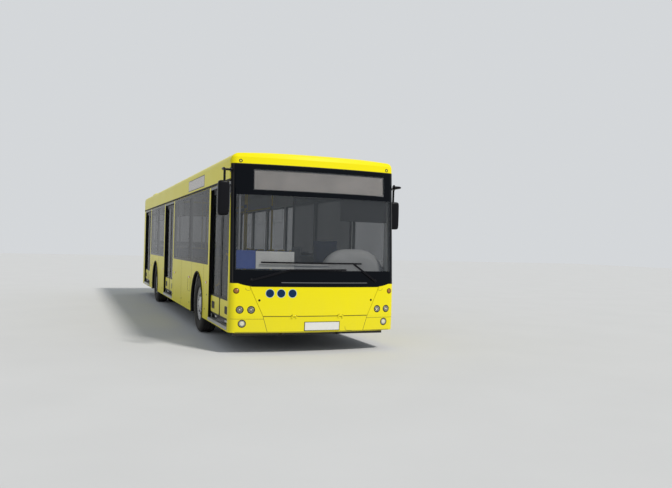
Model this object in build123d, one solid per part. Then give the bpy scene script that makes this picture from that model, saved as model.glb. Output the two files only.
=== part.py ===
from build123d import *

import os
from math import asin, atan2, cos, degrees, hypot, radians, sin, sqrt, tan

os.makedirs("parts", exist_ok=True)

# A 12 m low-floor city bus: hollow body of separate panels, three double inward-gliding doors,
# steered front wheels, twin rear wheels, a drop-down front flap, an engine hatch and two roof
# hatches. Sizes in mm. The origin is on the ground below the middle of the body, +Z is up, the
# front faces -Y and the doors are on -X.

# Overall body
FRONT_OVERHANG = 2720
WHEELBASE = 6140
REAR_OVERHANG = 3140
WIDTH = 2500
ROOF_Z = 2838
SKIRT_Z = 300
LIP_Z = 526
SCREEN_BASE_Z = 945
GUTTER_DROP = 415
WALL = 60
FIT = 0.3
SEAM = 0.4
FRONT_BOW_R = 6400
FRONT_CORNER_R = 110
REAR_CORNER_R = 130
COVE_R = 120
COVE_DROP = 152
FRONT_RAKE = 110
REAR_RAKE = 45
FRONT_MASK_DEPTH = 260
REAR_MASK_DEPTH = 210
LENGTH = FRONT_OVERHANG + WHEELBASE + REAR_OVERHANG
HALF_W = WIDTH / 2
FRONT_Y = -LENGTH / 2
REAR_Y = LENGTH / 2
MASK_Y = FRONT_Y + FRONT_MASK_DEPTH
REAR_MASK_Y = REAR_Y - REAR_MASK_DEPTH
GUTTER_Z = ROOF_Z - GUTTER_DROP
COVE_START_Z = ROOF_Z - COVE_DROP
COVE_X = HALF_W - COVE_R
RAKE_TOP_Z = COVE_START_Z - 36
TALL = ROOF_Z + 500
# Height, set-back of the front face and set-back of the rear face
BODY_SECTIONS = (
    (SKIRT_Z - 10, 12, 12),
    (LIP_Z, 0, 0),
    (SCREEN_BASE_Z, 0, 0),
    (RAKE_TOP_Z, FRONT_RAKE, REAR_RAKE),
    (ROOF_Z - 90, FRONT_RAKE + 14, REAR_RAKE + 15),
    (ROOF_Z - 42, FRONT_RAKE + 40, REAR_RAKE + 45),
    (ROOF_Z - 13, FRONT_RAKE + 85, REAR_RAKE + 95),
    (ROOF_Z + 4, FRONT_RAKE + 165, REAR_RAKE + 175),
)

# Running gear
TYRE_R = 479
TYRE_W = 275
BEAD_R = 286
RIM_W = 200
RIM_SKIN = 14
TYRE_INSET = 28
TWIN_GAP = 36
KINGPIN_INBOARD = 72.5
KINGPIN_R = 26
SPINDLE_R = 40
REAR_STUB_R = 62
ARCH_R = 545
ARCH_PANEL_HALF = 600
HOUSE_R = 555
HOUSE_SKIN = 18
FRONT_HOUSE_X = 604
REAR_HOUSE_X = 490
BEAM_LOW_Z = 130
BEAM_H = 88
BEAM_W = 120
HUB_Z = TYRE_R
FRONT_AXLE_Y = FRONT_Y + FRONT_OVERHANG
REAR_AXLE_Y = FRONT_AXLE_Y + WHEELBASE
WHEEL_X = HALF_W - TYRE_INSET - TYRE_W / 2
TWIN_X = WHEEL_X - TYRE_W - TWIN_GAP
KINGPIN_X = WHEEL_X - KINGPIN_INBOARD
BEAM_Z = (BEAM_LOW_Z, BEAM_LOW_Z + BEAM_H)

# Floor, underframe and engine
FLOOR_Z = 360
FLOOR_T = 50
RAIL_X = 430
RAIL_W = 80
RAIL_H = 92
RAIL_SHORT = 350
CROSS_W = 60
CROSS_H = 80
CROSS_INSET = 100
JACK_X = 1050
JACK_PAD_R = 60
JACK_PAD_DEPTH = 21
TOW_EYE_R = 22
TOW_EYE_OUT = 60
TOWER_X = 250
TOWER_DEPTH = 1650
TOWER_Z = 1480
TOWER_SKIN = 20
ENGINE_W = 820
ENGINE_L = 1250
ENGINE_H = 900
ENGINE_X = 700
ENGINE_BACK = 800
ENGINE_FOOT_Z = 400
PODIUM_H = 180
PODIUM_X = 130
PODIUM_START = 440
PODIUM_END = 1750

# Doors: each has two equal leaves
DOOR_W = 1400
MIDDLE_DOOR_BACK = 3040
REAR_DOOR_AHEAD = 1870
LEAF_T = 40
LEAF_LIFT = 70
LEAF_DROP = 50
LEAF_EDGE_GAP = 10
LEAF_MEET_GAP = 7
LEAF_STILE = 55
LEAF_KICK_H = 305
LEAF_HEAD = 70
GLASS_T = 6
POST_R = 20
POST_BEHIND = 15
POST_INBOARD = 75
PIVOT_INBOARD = 8
PIN_R = 8
PIN_DEPTH = 38
ARM_W = 46
ARM_T = 30
ARM_GAP = 6
GEAR_W = 130
GEAR_H = 116
GEAR_GAP = 4

# Windows
WAIST_Z = 1181
PANE_LAP = 18
PANE_T = 10
PANE_GAP = 8
PILLAR_W = 76
JAMB_W = 110
FIRST_PANE_W = 1900
THIRD_PANE_W = 1360
DRIVER_PANE_START = 400
GRILLE_Z = (620, 1500)
GRILLE_W = 1140
GRILLE_END = 350
SLATS = 10
SLAT_T = 12
SLAT_H = 52
SLAT_TILT = -32
WINDOW_TOP_Z = GUTTER_Z - 23
DOOR_TOP_Z = WINDOW_TOP_Z

# Windscreen and lower front
SCREEN_RISE = 70
SCREEN_HEAD = 191
SCREEN_SIDE = 38
SCREEN_FLAT_HALF = 950
SCREEN_T = 12
SCREEN_LAP = 45
PANEL_T = 40
FLAP_GAP = 6
FLAP_TOP_HALF = 975
FLAP_LOW_HALF = 785
BARREL_R = 6
HINGE_PIN_R = 3
HINGE_L = 40
HINGE_EAR = 20
HINGE_CLEAR = 5
SCREEN_HALF_W = HALF_W - SCREEN_SIDE
SCREEN_CORNER_Z = SCREEN_BASE_Z + SCREEN_RISE
SCREEN_TOP_Z = ROOF_Z - SCREEN_HEAD
FLAP_Z = LIP_Z + 2

# Rear
HATCH_HALF_W = 985
HATCH_Z = (640, 1400)
REAR_WINDOW_Z = (1500, GUTTER_Z - 43)
REAR_POST_X = HATCH_HALF_W + FLAP_GAP
REAR_WINDOW_HALF = REAR_POST_X + PANE_LAP

# Round lamps: x, z and radius
FRONT_LAMPS = ((1162, 881, 34), (1110, 620, 48), (955, 620, 48), (1075, 427, 50))
REAR_LAMPS = ((1120, 760, 55), (1120, 900, 55), (1120, 1040, 55), (1120, 1180, 55))

# Stations along the sides: door edges, and the joints between panes
FRONT_DOOR_Y = MASK_Y
MIDDLE_DOOR_Y = FRONT_AXLE_Y + MIDDLE_DOOR_BACK
REAR_DOOR_Y = REAR_Y - REAR_DOOR_AHEAD
DOORS = (("front", FRONT_DOOR_Y), ("middle", MIDDLE_DOOR_Y), ("rear", REAR_DOOR_Y))
FIRST_BAY_Y = FRONT_DOOR_Y + DOOR_W + JAMB_W
FIRST_JOINT_Y = FIRST_BAY_Y + FIRST_PANE_W
MIDDLE_BAY_END = MIDDLE_DOOR_Y - JAMB_W
THIRD_BAY_Y = MIDDLE_DOOR_Y + DOOR_W + JAMB_W
THIRD_JOINT_Y = THIRD_BAY_Y + THIRD_PANE_W
REAR_BAY_END = REAR_DOOR_Y - JAMB_W
GRILLE_Y = (REAR_MASK_Y - GRILLE_END - GRILLE_W, REAR_MASK_Y - GRILLE_END)


def block(x0, x1, y0, y1, z0, z1):
    """Box between two corners."""
    size = (abs(x1 - x0), abs(y1 - y0), abs(z1 - z0))
    return Pos((x0 + x1) / 2, (y0 + y1) / 2, (z0 + z1) / 2) * Box(*size)


def rod(start, end, radius):
    """Round bar between two points."""
    axis = Vector(*end) - Vector(*start)
    plane = Plane(origin=start, z_dir=axis)
    return extrude(plane * Circle(radius), amount=axis.length)


def mirror_x(shape):
    return mirror(shape, about=Plane.YZ)


def both_sides(shape):
    return [shape, mirror_x(shape)]


def save(name, shape):
    """Writes one node, from one shape or a list of shapes that don't touch."""
    solids = []
    for item in shape if isinstance(shape, (list, tuple)) else [shape]:
        solids += item.solids()
    export_step(Compound(children=solids), f"parts/{name}.step")


def plan_face(z, front_y, rear_y, inset):
    """Plan outline of the body at one height, set in by the inset."""
    big_r = FRONT_BOW_R - inset
    front_r = FRONT_CORNER_R - inset
    rear_r = REAR_CORNER_R - inset
    side_x = HALF_W - inset
    bow_y = front_y + FRONT_BOW_R
    corner_x = HALF_W - FRONT_CORNER_R
    reach = FRONT_BOW_R - FRONT_CORNER_R
    corner_y = bow_y - sqrt(reach**2 - corner_x**2)
    turn = asin(corner_x / reach)
    middle = (turn + radians(90)) / 2
    join = (big_r * sin(turn), bow_y - big_r * cos(turn))
    bend = (corner_x + front_r * sin(middle), corner_y - front_r * cos(middle))
    back_y = rear_y - inset
    back_x = HALF_W - REAR_CORNER_R
    back_c = rear_y - REAR_CORNER_R
    half = rear_r * sqrt(0.5)
    edges = [
        ThreePointArc((-join[0], join[1]), (0, front_y + inset), join),
        ThreePointArc(join, bend, (side_x, corner_y)),
        Line((side_x, corner_y), (side_x, back_c)),
        ThreePointArc((side_x, back_c), (back_x + half, back_c + half), (back_x, back_y)),
        Line((back_x, back_y), (-back_x, back_y)),
        ThreePointArc((-back_x, back_y), (-back_x - half, back_c + half), (-side_x, back_c)),
        Line((-side_x, back_c), (-side_x, corner_y)),
        ThreePointArc((-side_x, corner_y), (-bend[0], bend[1]), (-join[0], join[1])),
    ]
    return Pos(0, 0, z) * make_face(Wire(edges))


def cross_section(inset, bottom):
    """Outline of the body seen from the front, with coved roof edges and a crowned roof."""
    cove_x = COVE_X
    drop = ROOF_Z - COVE_START_Z
    crown_r = (cove_x**2 + drop**2 - COVE_R**2) / (2 * (drop - COVE_R))
    side_x = HALF_W - inset
    cove_r = COVE_R - inset
    crown_z = ROOF_Z - crown_r
    turn = asin(cove_x / (crown_r - COVE_R))
    top = ((crown_r - inset) * sin(turn), crown_z + (crown_r - inset) * cos(turn))
    middle = (turn + radians(90)) / 2
    bend = (cove_x + cove_r * sin(middle), COVE_START_Z + cove_r * cos(middle))
    edges = [
        Line((-side_x, bottom), (side_x, bottom)),
        Line((side_x, bottom), (side_x, COVE_START_Z)),
        ThreePointArc((side_x, COVE_START_Z), bend, top),
        ThreePointArc(top, (0, ROOF_Z - inset), (-top[0], top[1])),
        ThreePointArc((-top[0], top[1]), (-bend[0], bend[1]), (-side_x, COVE_START_Z)),
        Line((-side_x, COVE_START_Z), (-side_x, bottom)),
    ]
    return Plane.XZ * make_face(Wire(edges))


def body_solid(inset):
    """The whole body as one solid, set in from the outer skin by the inset."""
    sections = []
    for z, front_back, rear_back in BODY_SECTIONS:
        sections.append(plan_face(z, FRONT_Y + front_back, REAR_Y - rear_back, inset))
    hull = loft(sections, ruled=True)
    tube = extrude(cross_section(inset, SKIRT_Z - 5), amount=LENGTH / 2, both=True)
    if inset == 0:
        return (hull & tube) & block(-WIDTH, WIDTH, -LENGTH, LENGTH, SKIRT_Z, TALL)
    return hull & tube


FRONT_DEPTH = 450


def front_region(face):
    """Prism through the front of the body from a face drawn in x and z."""
    return Pos(0, FRONT_Y + FRONT_DEPTH, 0) * extrude(face, amount=FRONT_DEPTH + 250)


def outline_face(points):
    return Plane.XZ * make_face(Polyline(*points, close=True))


def screen_face(half_w, base, corner, top, flat):
    """Front view of the windscreen: its lower edge rises towards the corners."""
    bend = ((flat + half_w) / 2, base + (corner - base) * 0.3)
    edges = [
        Line((-flat, base), (flat, base)),
        ThreePointArc((flat, base), bend, (half_w, corner)),
        Line((half_w, corner), (half_w, top)),
        Line((half_w, top), (-half_w, top)),
        Line((-half_w, top), (-half_w, corner)),
        ThreePointArc((-half_w, corner), (-bend[0], bend[1]), (-flat, base)),
    ]
    return Plane.XZ * make_face(Wire(edges))


def hinge_set(x, y, z, leaf_reach, base_reach, barrel_r, pin_r):
    """Exposed barrel hinge on the X axis: the moving eye with its lug, and a pin with two ears."""
    half = HINGE_L / 2
    moving = rod((x - half, y, z), (x + half, y, z), barrel_r)
    moving += block(x - half, x + half, y, y + leaf_reach[0], z, z + leaf_reach[1])
    moving -= rod((x - HINGE_L, y, z), (x + HINGE_L, y, z), pin_r + FIT)
    fixed = rod((x - half - HINGE_EAR, y, z), (x + half + HINGE_EAR, y, z), pin_r)
    for side in (-1, 1):
        start = x + side * (half + FIT)
        end = x + side * (half + HINGE_EAR)
        fixed += rod((start, y, z), (end, y, z), barrel_r)
        fixed += block(start, end, y, y + base_reach[0], z, z + base_reach[1])
    return moving, fixed


OUTER = body_solid(0)
INNER = body_solid(WALL)
SHELL = OUTER - INNER
GLASS_SKIN = OUTER - body_solid(SCREEN_T)
BACKING = body_solid(PANEL_T) - INNER
WIDE = WIDTH / 2 + 200
AHEAD_Y = FRONT_Y - 200
BEHIND_Y = REAR_Y + 200


# Front mask and windscreen
SCREEN = front_region(
    screen_face(SCREEN_HALF_W, SCREEN_BASE_Z, SCREEN_CORNER_Z, SCREEN_TOP_Z, SCREEN_FLAT_HALF)
)
SCREEN_HOLE = front_region(
    screen_face(
        SCREEN_HALF_W - SCREEN_LAP,
        SCREEN_BASE_Z + SCREEN_LAP,
        SCREEN_CORNER_Z + SCREEN_LAP,
        SCREEN_TOP_Z - SCREEN_LAP,
        SCREEN_FLAT_HALF,
    )
)
front_shell = SHELL & block(-WIDE, WIDE, AHEAD_Y, MASK_Y, 0, TALL)
windscreen = GLASS_SKIN & SCREEN & block(-WIDE, WIDE, AHEAD_Y, MASK_Y, 0, TALL)
front_mask = front_shell - block(-WIDE, WIDE, AHEAD_Y, MASK_Y, 0, SCREEN_BASE_Z)
front_mask = front_mask - windscreen - SCREEN_HOLE
save("front_mask", front_mask)
save("windscreen", windscreen)

# Lower front: the bumper, a panel at each corner, and the flap between them
FLAP_TOP_Z = SCREEN_BASE_Z - FLAP_GAP
FLAP_SLOPE = (FLAP_TOP_HALF - FLAP_LOW_HALF) / (FLAP_TOP_Z - FLAP_Z)
FLAP_AXIS_Z = FLAP_Z + FLAP_GAP
FLAP_HINGES = (-350, 350)


def flap_face(grow, low, high):
    """Trapezoid of the flap, wider at its top."""
    low_x = FLAP_LOW_HALF + (low - FLAP_Z) * FLAP_SLOPE + grow
    high_x = FLAP_LOW_HALF + (high - FLAP_Z) * FLAP_SLOPE + grow
    return outline_face([(-low_x, low), (low_x, low), (high_x, high), (-high_x, high)])


lower_front = front_shell & block(-WIDE, WIDE, AHEAD_Y, MASK_Y, 0, SCREEN_BASE_Z)
bumper = lower_front & block(-WIDE, WIDE, AHEAD_Y, MASK_Y, 0, FLAP_Z)
corners = lower_front & block(-WIDE, WIDE, AHEAD_Y, MASK_Y, FLAP_Z + SEAM, SCREEN_BASE_Z)
corners -= front_region(flap_face(FLAP_GAP, FLAP_Z, SCREEN_BASE_Z))
front_flap = (lower_front & front_region(flap_face(0, FLAP_AXIS_Z, FLAP_TOP_Z))) - BACKING
cut_z = FLAP_AXIS_Z + BARREL_R + HINGE_CLEAR
for hinge_x in FLAP_HINGES:
    reach = HINGE_L / 2 + HINGE_EAR + HINGE_CLEAR
    front_flap -= block(hinge_x - reach, hinge_x + reach, AHEAD_Y, MASK_Y, 0, cut_z)
    moving, fixed = hinge_set(hinge_x, FRONT_Y, FLAP_AXIS_Z, (24, 30), (24, -30), BARREL_R, HINGE_PIN_R)
    front_flap += moving
    bumper += fixed
front_lamps = []
for lamp_x, lamp_z, lamp_r in FRONT_LAMPS:
    beam = rod((lamp_x, AHEAD_Y, lamp_z), (lamp_x, MASK_Y, lamp_z), lamp_r)
    for lamp in both_sides((lower_front & beam) - BACKING):
        front_lamps.append(lamp)
        bumper -= lamp
        corners -= lamp
save("front_panels", [bumper, corners])
save("front_flap", front_flap)
save("front_lamps", front_lamps)


def panel(side, y0, y1, z0, z1, outer=0):
    """Flat panel of one side wall between two stations and two heights."""
    shape = block(side * (HALF_W - WALL), side * (HALF_W - outer), y0, y1, z0, z1)
    return shape & OUTER


def skirt_run(side, y0, y1, axle_y):
    """Skirt panels from one station to the next, with the arch panel over the wheel."""
    arch = panel(side, axle_y - ARCH_PANEL_HALF + SEAM, axle_y + ARCH_PANEL_HALF - SEAM, SKIRT_Z, WAIST_Z)
    arch -= rod((-WIDE, axle_y, HUB_Z), (WIDE, axle_y, HUB_Z), ARCH_R)
    ahead = panel(side, y0, axle_y - ARCH_PANEL_HALF, SKIRT_Z, WAIST_Z)
    behind = panel(side, axle_y + ARCH_PANEL_HALF, y1, SKIRT_Z, WAIST_Z)
    return [ahead, arch, behind]


def glazed_run(side, y0, y1, joints):
    """Rails and pillars behind the glass, and the panes that lie over them, flush with the skin."""
    low = WAIST_Z + PANE_LAP
    high = WINDOW_TOP_Z - PANE_LAP
    frame = [panel(side, y0, y1, WAIST_Z + SEAM, low, PANE_T), panel(side, y0, y1, high, WINDOW_TOP_Z - SEAM, PANE_T)]
    for joint in joints:
        half = PILLAR_W / 2
        frame.append(panel(side, joint - half, joint + half, low + SEAM, high - SEAM, PANE_T))
    panes = []
    edges = [y0 - PANE_GAP / 2, *joints, y1 + PANE_GAP / 2]
    for start, end in zip(edges, edges[1:]):
        skin = (side * (HALF_W - PANE_T), side * HALF_W)
        panes.append(block(*skin, start + PANE_GAP / 2, end - PANE_GAP / 2, WAIST_Z, WINDOW_TOP_Z))
    return frame, panes


# Right wall: sills, skirts, door jambs, window frames and the strip above them
right_wall = []
for door_name, start in DOORS:
    right_wall.append(panel(-1, start, start + DOOR_W, SKIRT_Z, FLOOR_Z))
# Start and end of each skirt run and its axle
RIGHT_SKIRTS = (
    (FRONT_DOOR_Y + DOOR_W + SEAM, MIDDLE_DOOR_Y - SEAM, FRONT_AXLE_Y),
    (MIDDLE_DOOR_Y + DOOR_W + SEAM, REAR_DOOR_Y - SEAM, REAR_AXLE_Y),
)
for run in RIGHT_SKIRTS:
    right_wall += skirt_run(-1, *run)
RIGHT_JAMBS = (
    (FRONT_DOOR_Y + DOOR_W + SEAM, FIRST_BAY_Y - SEAM),
    (MIDDLE_BAY_END + SEAM, MIDDLE_DOOR_Y - SEAM),
    (MIDDLE_DOOR_Y + DOOR_W + SEAM, THIRD_BAY_Y - SEAM),
    (REAR_BAY_END + SEAM, REAR_DOOR_Y - SEAM),
)
for start, end in RIGHT_JAMBS:
    right_wall.append(panel(-1, start, end, WAIST_Z + SEAM, WINDOW_TOP_Z - SEAM))
right_wall.append(panel(-1, REAR_DOOR_Y + DOOR_W + SEAM, REAR_MASK_Y, SKIRT_Z, WINDOW_TOP_Z - SEAM))
right_wall.append(mirror_x(panel(1, MASK_Y, REAR_MASK_Y, WINDOW_TOP_Z, GUTTER_Z)))
# Start and end of each glazed run and the joints between its panes
RIGHT_GLASS = (
    (FIRST_BAY_Y, MIDDLE_BAY_END, (FIRST_JOINT_Y,)),
    (THIRD_BAY_Y, REAR_BAY_END, (THIRD_JOINT_Y,)),
)
body_windows = []
for run in RIGHT_GLASS:
    frame, panes = glazed_run(-1, *run)
    right_wall += frame
    body_windows += panes

# Left wall: the same lines without doors, with a louvred grille beside the engine
LEFT_GLASS_Y = FRONT_Y + DRIVER_PANE_START
LEFT_SPLIT_Y = (MIDDLE_BAY_END + THIRD_BAY_Y) / 2
left_wall = skirt_run(1, MASK_Y, LEFT_SPLIT_Y - SEAM, FRONT_AXLE_Y)
left_wall += skirt_run(1, LEFT_SPLIT_Y, GRILLE_Y[0] - SEAM, REAR_AXLE_Y)
left_wall.append(panel(1, MASK_Y, LEFT_GLASS_Y - SEAM, WAIST_Z + SEAM, WINDOW_TOP_Z - SEAM))
left_wall.append(panel(1, REAR_BAY_END + SEAM, GRILLE_Y[0] - SEAM, WAIST_Z + SEAM, WINDOW_TOP_Z - SEAM))
left_wall.append(panel(1, *GRILLE_Y, SKIRT_Z, GRILLE_Z[0]))
left_wall.append(panel(1, *GRILLE_Y, GRILLE_Z[1], WINDOW_TOP_Z - SEAM))
left_wall.append(panel(1, GRILLE_Y[1] + SEAM, REAR_MASK_Y, SKIRT_Z, WINDOW_TOP_Z - SEAM))
left_wall.append(panel(1, MASK_Y, REAR_MASK_Y, WINDOW_TOP_Z, GUTTER_Z))
slat_pitch = (GRILLE_Z[1] - GRILLE_Z[0]) / SLATS
for step in range(SLATS):
    slat_z = GRILLE_Z[0] + (step + 0.5) * slat_pitch
    place = Pos(HALF_W - WALL / 2, sum(GRILLE_Y) / 2, slat_z) * Rot(0, SLAT_TILT, 0)
    left_wall.append(place * Box(SLAT_T, GRILLE_W - 2 * FIT, SLAT_H))
driver_joint = FIRST_BAY_Y - PILLAR_W / 2
left_joints = (driver_joint, FIRST_JOINT_Y, MIDDLE_BAY_END + PILLAR_W / 2, THIRD_BAY_Y - PILLAR_W / 2, THIRD_JOINT_Y)
frame, panes = glazed_run(1, LEFT_GLASS_Y, REAR_BAY_END, left_joints)
left_wall += frame
body_windows += panes
save("right_wall", right_wall)
save("left_wall", left_wall)

# Door gear boxes above the doorways
GEAR_Z = (DOOR_TOP_Z + GEAR_GAP, DOOR_TOP_Z + GEAR_GAP + GEAR_H)
GEAR_REACH = POST_BEHIND + POST_R + 3
door_gear = []
gear_room = body_solid(SCREEN_T + FIT) - front_mask
gear_room -= SHELL & block(-WIDE, WIDE, MASK_Y, MIDDLE_DOOR_Y, 0, TALL)
for door_name, start in DOORS:
    inner_x = -(HALF_W - WALL - FIT)
    gear = block(inner_x, inner_x + GEAR_W, start - GEAR_REACH, start + DOOR_W + GEAR_REACH, *GEAR_Z)
    door_gear.append(gear & gear_room)
save("door_gear", door_gear)

# Roof: boards over the windows, coved edges, and panels around two hatch frames
ROOF_HATCHES = (("front", FRONT_AXLE_Y + 1780), ("rear", REAR_AXLE_Y + 1040))
HATCH_HALF_X = 380
HATCH_HALF_Y = 480
FRAME_W = 30
KERB_H = 34
FRAME_X = HATCH_HALF_X + FRAME_W
FRAME_Y = HATCH_HALF_Y + FRAME_W
SIGN_SIDE_Y = (FRONT_AXLE_Y - 471, FRONT_AXLE_Y + 1145)
SIGN_SIDE_Z = (GUTTER_Z + 47, GUTTER_Z + 242)
roof = []
for side in (-1, 1):
    edge = (side * COVE_X, side * WIDE)
    board = SHELL & block(*edge, MASK_Y, REAR_MASK_Y, GUTTER_Z, COVE_START_Z)
    roof.append(board)
    roof.append(SHELL & block(*edge, MASK_Y, REAR_MASK_Y, COVE_START_Z + SEAM, TALL))
side_sign = block(-HALF_W, -HALF_W + PANE_T, *SIGN_SIDE_Y, *SIGN_SIDE_Z)
roof[0] -= side_sign
stations = [MASK_Y]
for hatch_name, hatch_y in ROOF_HATCHES:
    stations += [hatch_y - FRAME_Y - FIT, hatch_y + FRAME_Y + FIT]
stations.append(REAR_MASK_Y)
# Lines along the roof where its panels meet
ROOF_LINES = (-COVE_X, -FRAME_X - FIT, FRAME_X + FIT, COVE_X - SEAM)
for step, (start, end) in enumerate(zip(stations, stations[1:])):
    for strip, (near, far) in enumerate(zip(ROOF_LINES, ROOF_LINES[1:])):
        if step % 2 == 0 or strip != 1:
            roof.append(SHELL & block(near + SEAM, far, start + SEAM, end, COVE_START_Z, TALL))

# Hatch frames through the roof, and their lids, hinged at the front edges
LID_LAP = 46
LID_SKIN = 32
LID_T = 46
LID_SKIRT = 24
LID_HINGES = (-300, 300)
LID_BARREL_R = 8
LID_PIN_R = 4
LID_AXIS_DROP = 2
LID_Z = ROOF_Z + KERB_H + FIT
FRAME_Z = (ROOF_Z - WALL - 20, ROOF_Z + KERB_H)
lid_x = FRAME_X + LID_LAP
lid_y = FRAME_Y + LID_LAP
wall_x = lid_x - LID_SKIN
wall_y = lid_y - LID_SKIN
skirt_z = (LID_Z - LID_SKIRT, LID_Z - SEAM)
hinge_out = LID_BARREL_R + 4
for hatch_name, hatch_y in ROOF_HATCHES:
    lid = block(-lid_x, lid_x, hatch_y - lid_y, hatch_y + lid_y, LID_Z, LID_Z + LID_T)
    lid = fillet(lid.edges().group_by(Axis.Z)[-1], 18)
    skirt = block(-lid_x, lid_x, hatch_y - lid_y, hatch_y - wall_y, *skirt_z)
    axis_y = hatch_y - lid_y - hinge_out
    axis_z = LID_Z - LID_AXIS_DROP
    base = block(-FRAME_X, FRAME_X, hatch_y - FRAME_Y, hatch_y - HATCH_HALF_Y, *FRAME_Z)
    for hinge_x in LID_HINGES:
        reach = HINGE_L / 2 + HINGE_EAR + HINGE_CLEAR
        skirt -= block(hinge_x - reach, hinge_x + reach, axis_y, hatch_y, 0, LID_Z)
        lug = (hinge_out + 10, 16)
        foot = (lid_y + hinge_out - FRAME_Y + 1, -(LID_BARREL_R + 6))
        moving, fixed = hinge_set(hinge_x, axis_y, axis_z, lug, foot, LID_BARREL_R, LID_PIN_R)
        lid += moving
        base += fixed
    lid_solids = [lid, *skirt.solids()]
    lid_solids.append(block(-lid_x, lid_x, hatch_y + wall_y, hatch_y + lid_y, *skirt_z))
    along = (hatch_y - wall_y + SEAM, hatch_y + wall_y - SEAM)
    lid_solids += both_sides(block(wall_x, lid_x, *along, *skirt_z))
    roof.append(base)
    roof.append(block(-FRAME_X, FRAME_X, hatch_y + HATCH_HALF_Y, hatch_y + FRAME_Y, *FRAME_Z))
    along = (hatch_y - HATCH_HALF_Y + SEAM, hatch_y + HATCH_HALF_Y - SEAM)
    roof += both_sides(block(HATCH_HALF_X, FRAME_X, *along, *FRAME_Z))
    save(f"roof_hatch_{hatch_name}", lid_solids)
save("roof", roof)

# Rear wall: bars around the engine hatch and the window, corner posts, dome and lamps
rear_shell = SHELL & block(-WIDE, WIDE, REAR_MASK_Y, BEHIND_Y, 0, TALL)
HATCH_AXIS_Y = REAR_Y - REAR_RAKE * (HATCH_Z[1] - SCREEN_BASE_Z) / (RAKE_TOP_Z - SCREEN_BASE_Z)
hatch_region = block(-HATCH_HALF_W, HATCH_HALF_W, REAR_MASK_Y, BEHIND_Y, *HATCH_Z)
engine_hatch = (rear_shell & hatch_region) - BACKING
rear_window_box = block(-REAR_WINDOW_HALF, REAR_WINDOW_HALF, REAR_MASK_Y, BEHIND_Y, *REAR_WINDOW_Z)
rear_window = GLASS_SKIN & rear_window_box
rear_bars = []
# Low and high edge of each bar between the corner posts: under the hatch, over it, over the window
REAR_BARS = (
    (0, HATCH_Z[0] - FLAP_GAP),
    (HATCH_Z[1] + FLAP_GAP, REAR_WINDOW_Z[0] + PANE_LAP),
    (REAR_WINDOW_Z[1] - PANE_LAP, GUTTER_Z),
)
for low, high in REAR_BARS:
    bar = rear_shell & block(-REAR_POST_X, REAR_POST_X, REAR_MASK_Y, BEHIND_Y, low, high)
    rear_bars.append(bar - rear_window)
rear_post = rear_shell & block(REAR_POST_X + SEAM, WIDE, REAR_MASK_Y, BEHIND_Y, 0, GUTTER_Z)
rear_post -= rear_window
rear_dome = rear_shell & block(-WIDE, WIDE, REAR_MASK_Y, BEHIND_Y, GUTTER_Z + SEAM, TALL)
REAR_HINGES = (-600, 600)
cut_z = HATCH_Z[1] - BARREL_R - HINGE_CLEAR
for hinge_x in REAR_HINGES:
    reach = HINGE_L / 2 + HINGE_EAR + HINGE_CLEAR
    engine_hatch -= block(hinge_x - reach, hinge_x + reach, REAR_MASK_Y, BEHIND_Y, cut_z, HATCH_Z[1] + 1)
    moving, fixed = hinge_set(hinge_x, HATCH_AXIS_Y, HATCH_Z[1], (-24, -30), (-24, 30), BARREL_R, HINGE_PIN_R)
    engine_hatch += moving
    rear_bars[1] += fixed
rear_lamps = []
rear_pieces = [*rear_bars, *both_sides(rear_post), rear_dome]
for lamp_x, lamp_z, lamp_r in REAR_LAMPS:
    lamp_rod = rod((lamp_x, REAR_MASK_Y, lamp_z), (lamp_x, BEHIND_Y, lamp_z), lamp_r)
    for lamp in both_sides((rear_shell & lamp_rod) - BACKING):
        rear_lamps.append(lamp)
        rear_pieces = [piece - lamp for piece in rear_pieces]
save("rear_wall", rear_pieces)
save("engine_hatch", engine_hatch)
save("rear_lamps", rear_lamps)
save("body_windows", body_windows + [rear_window])

# Destination signs: a box behind the windscreen, clear of the door arms, and a pane in the roof board
SIGN_HALF_W = 957
SIGN_Z = (SCREEN_TOP_Z - 362, SCREEN_TOP_Z - 87)
SIGN_BACK_Y = MASK_Y - 20
SIGN_BRACKETS = (-800, 0, 800)
SIGN_BRACKET_W = 60
SIGN_DEPTH = 40
sign_box = block(-SIGN_HALF_W, SIGN_HALF_W, SIGN_BACK_Y - SIGN_DEPTH, SIGN_BACK_Y, *SIGN_Z)
for bracket_x in SIGN_BRACKETS:
    half = SIGN_BRACKET_W / 2
    bracket = block(bracket_x - half, bracket_x + half, SIGN_BACK_Y - 20, SIGN_BACK_Y, SIGN_Z[1] - 10, ROOF_Z)
    sign_box += bracket & INNER
save("destination_sign", [sign_box, side_sign])

# Underframe: two rails, cross members and outriggers, jacking pads and tow eyes
RAIL_Z = (FLOOR_Z - FLOOR_T - RAIL_H, FLOOR_Z - FLOOR_T)
RAIL_Y = (FRONT_Y + RAIL_SHORT, REAR_Y - RAIL_SHORT)
CROSS_END_X = HALF_W - CROSS_INSET
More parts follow.
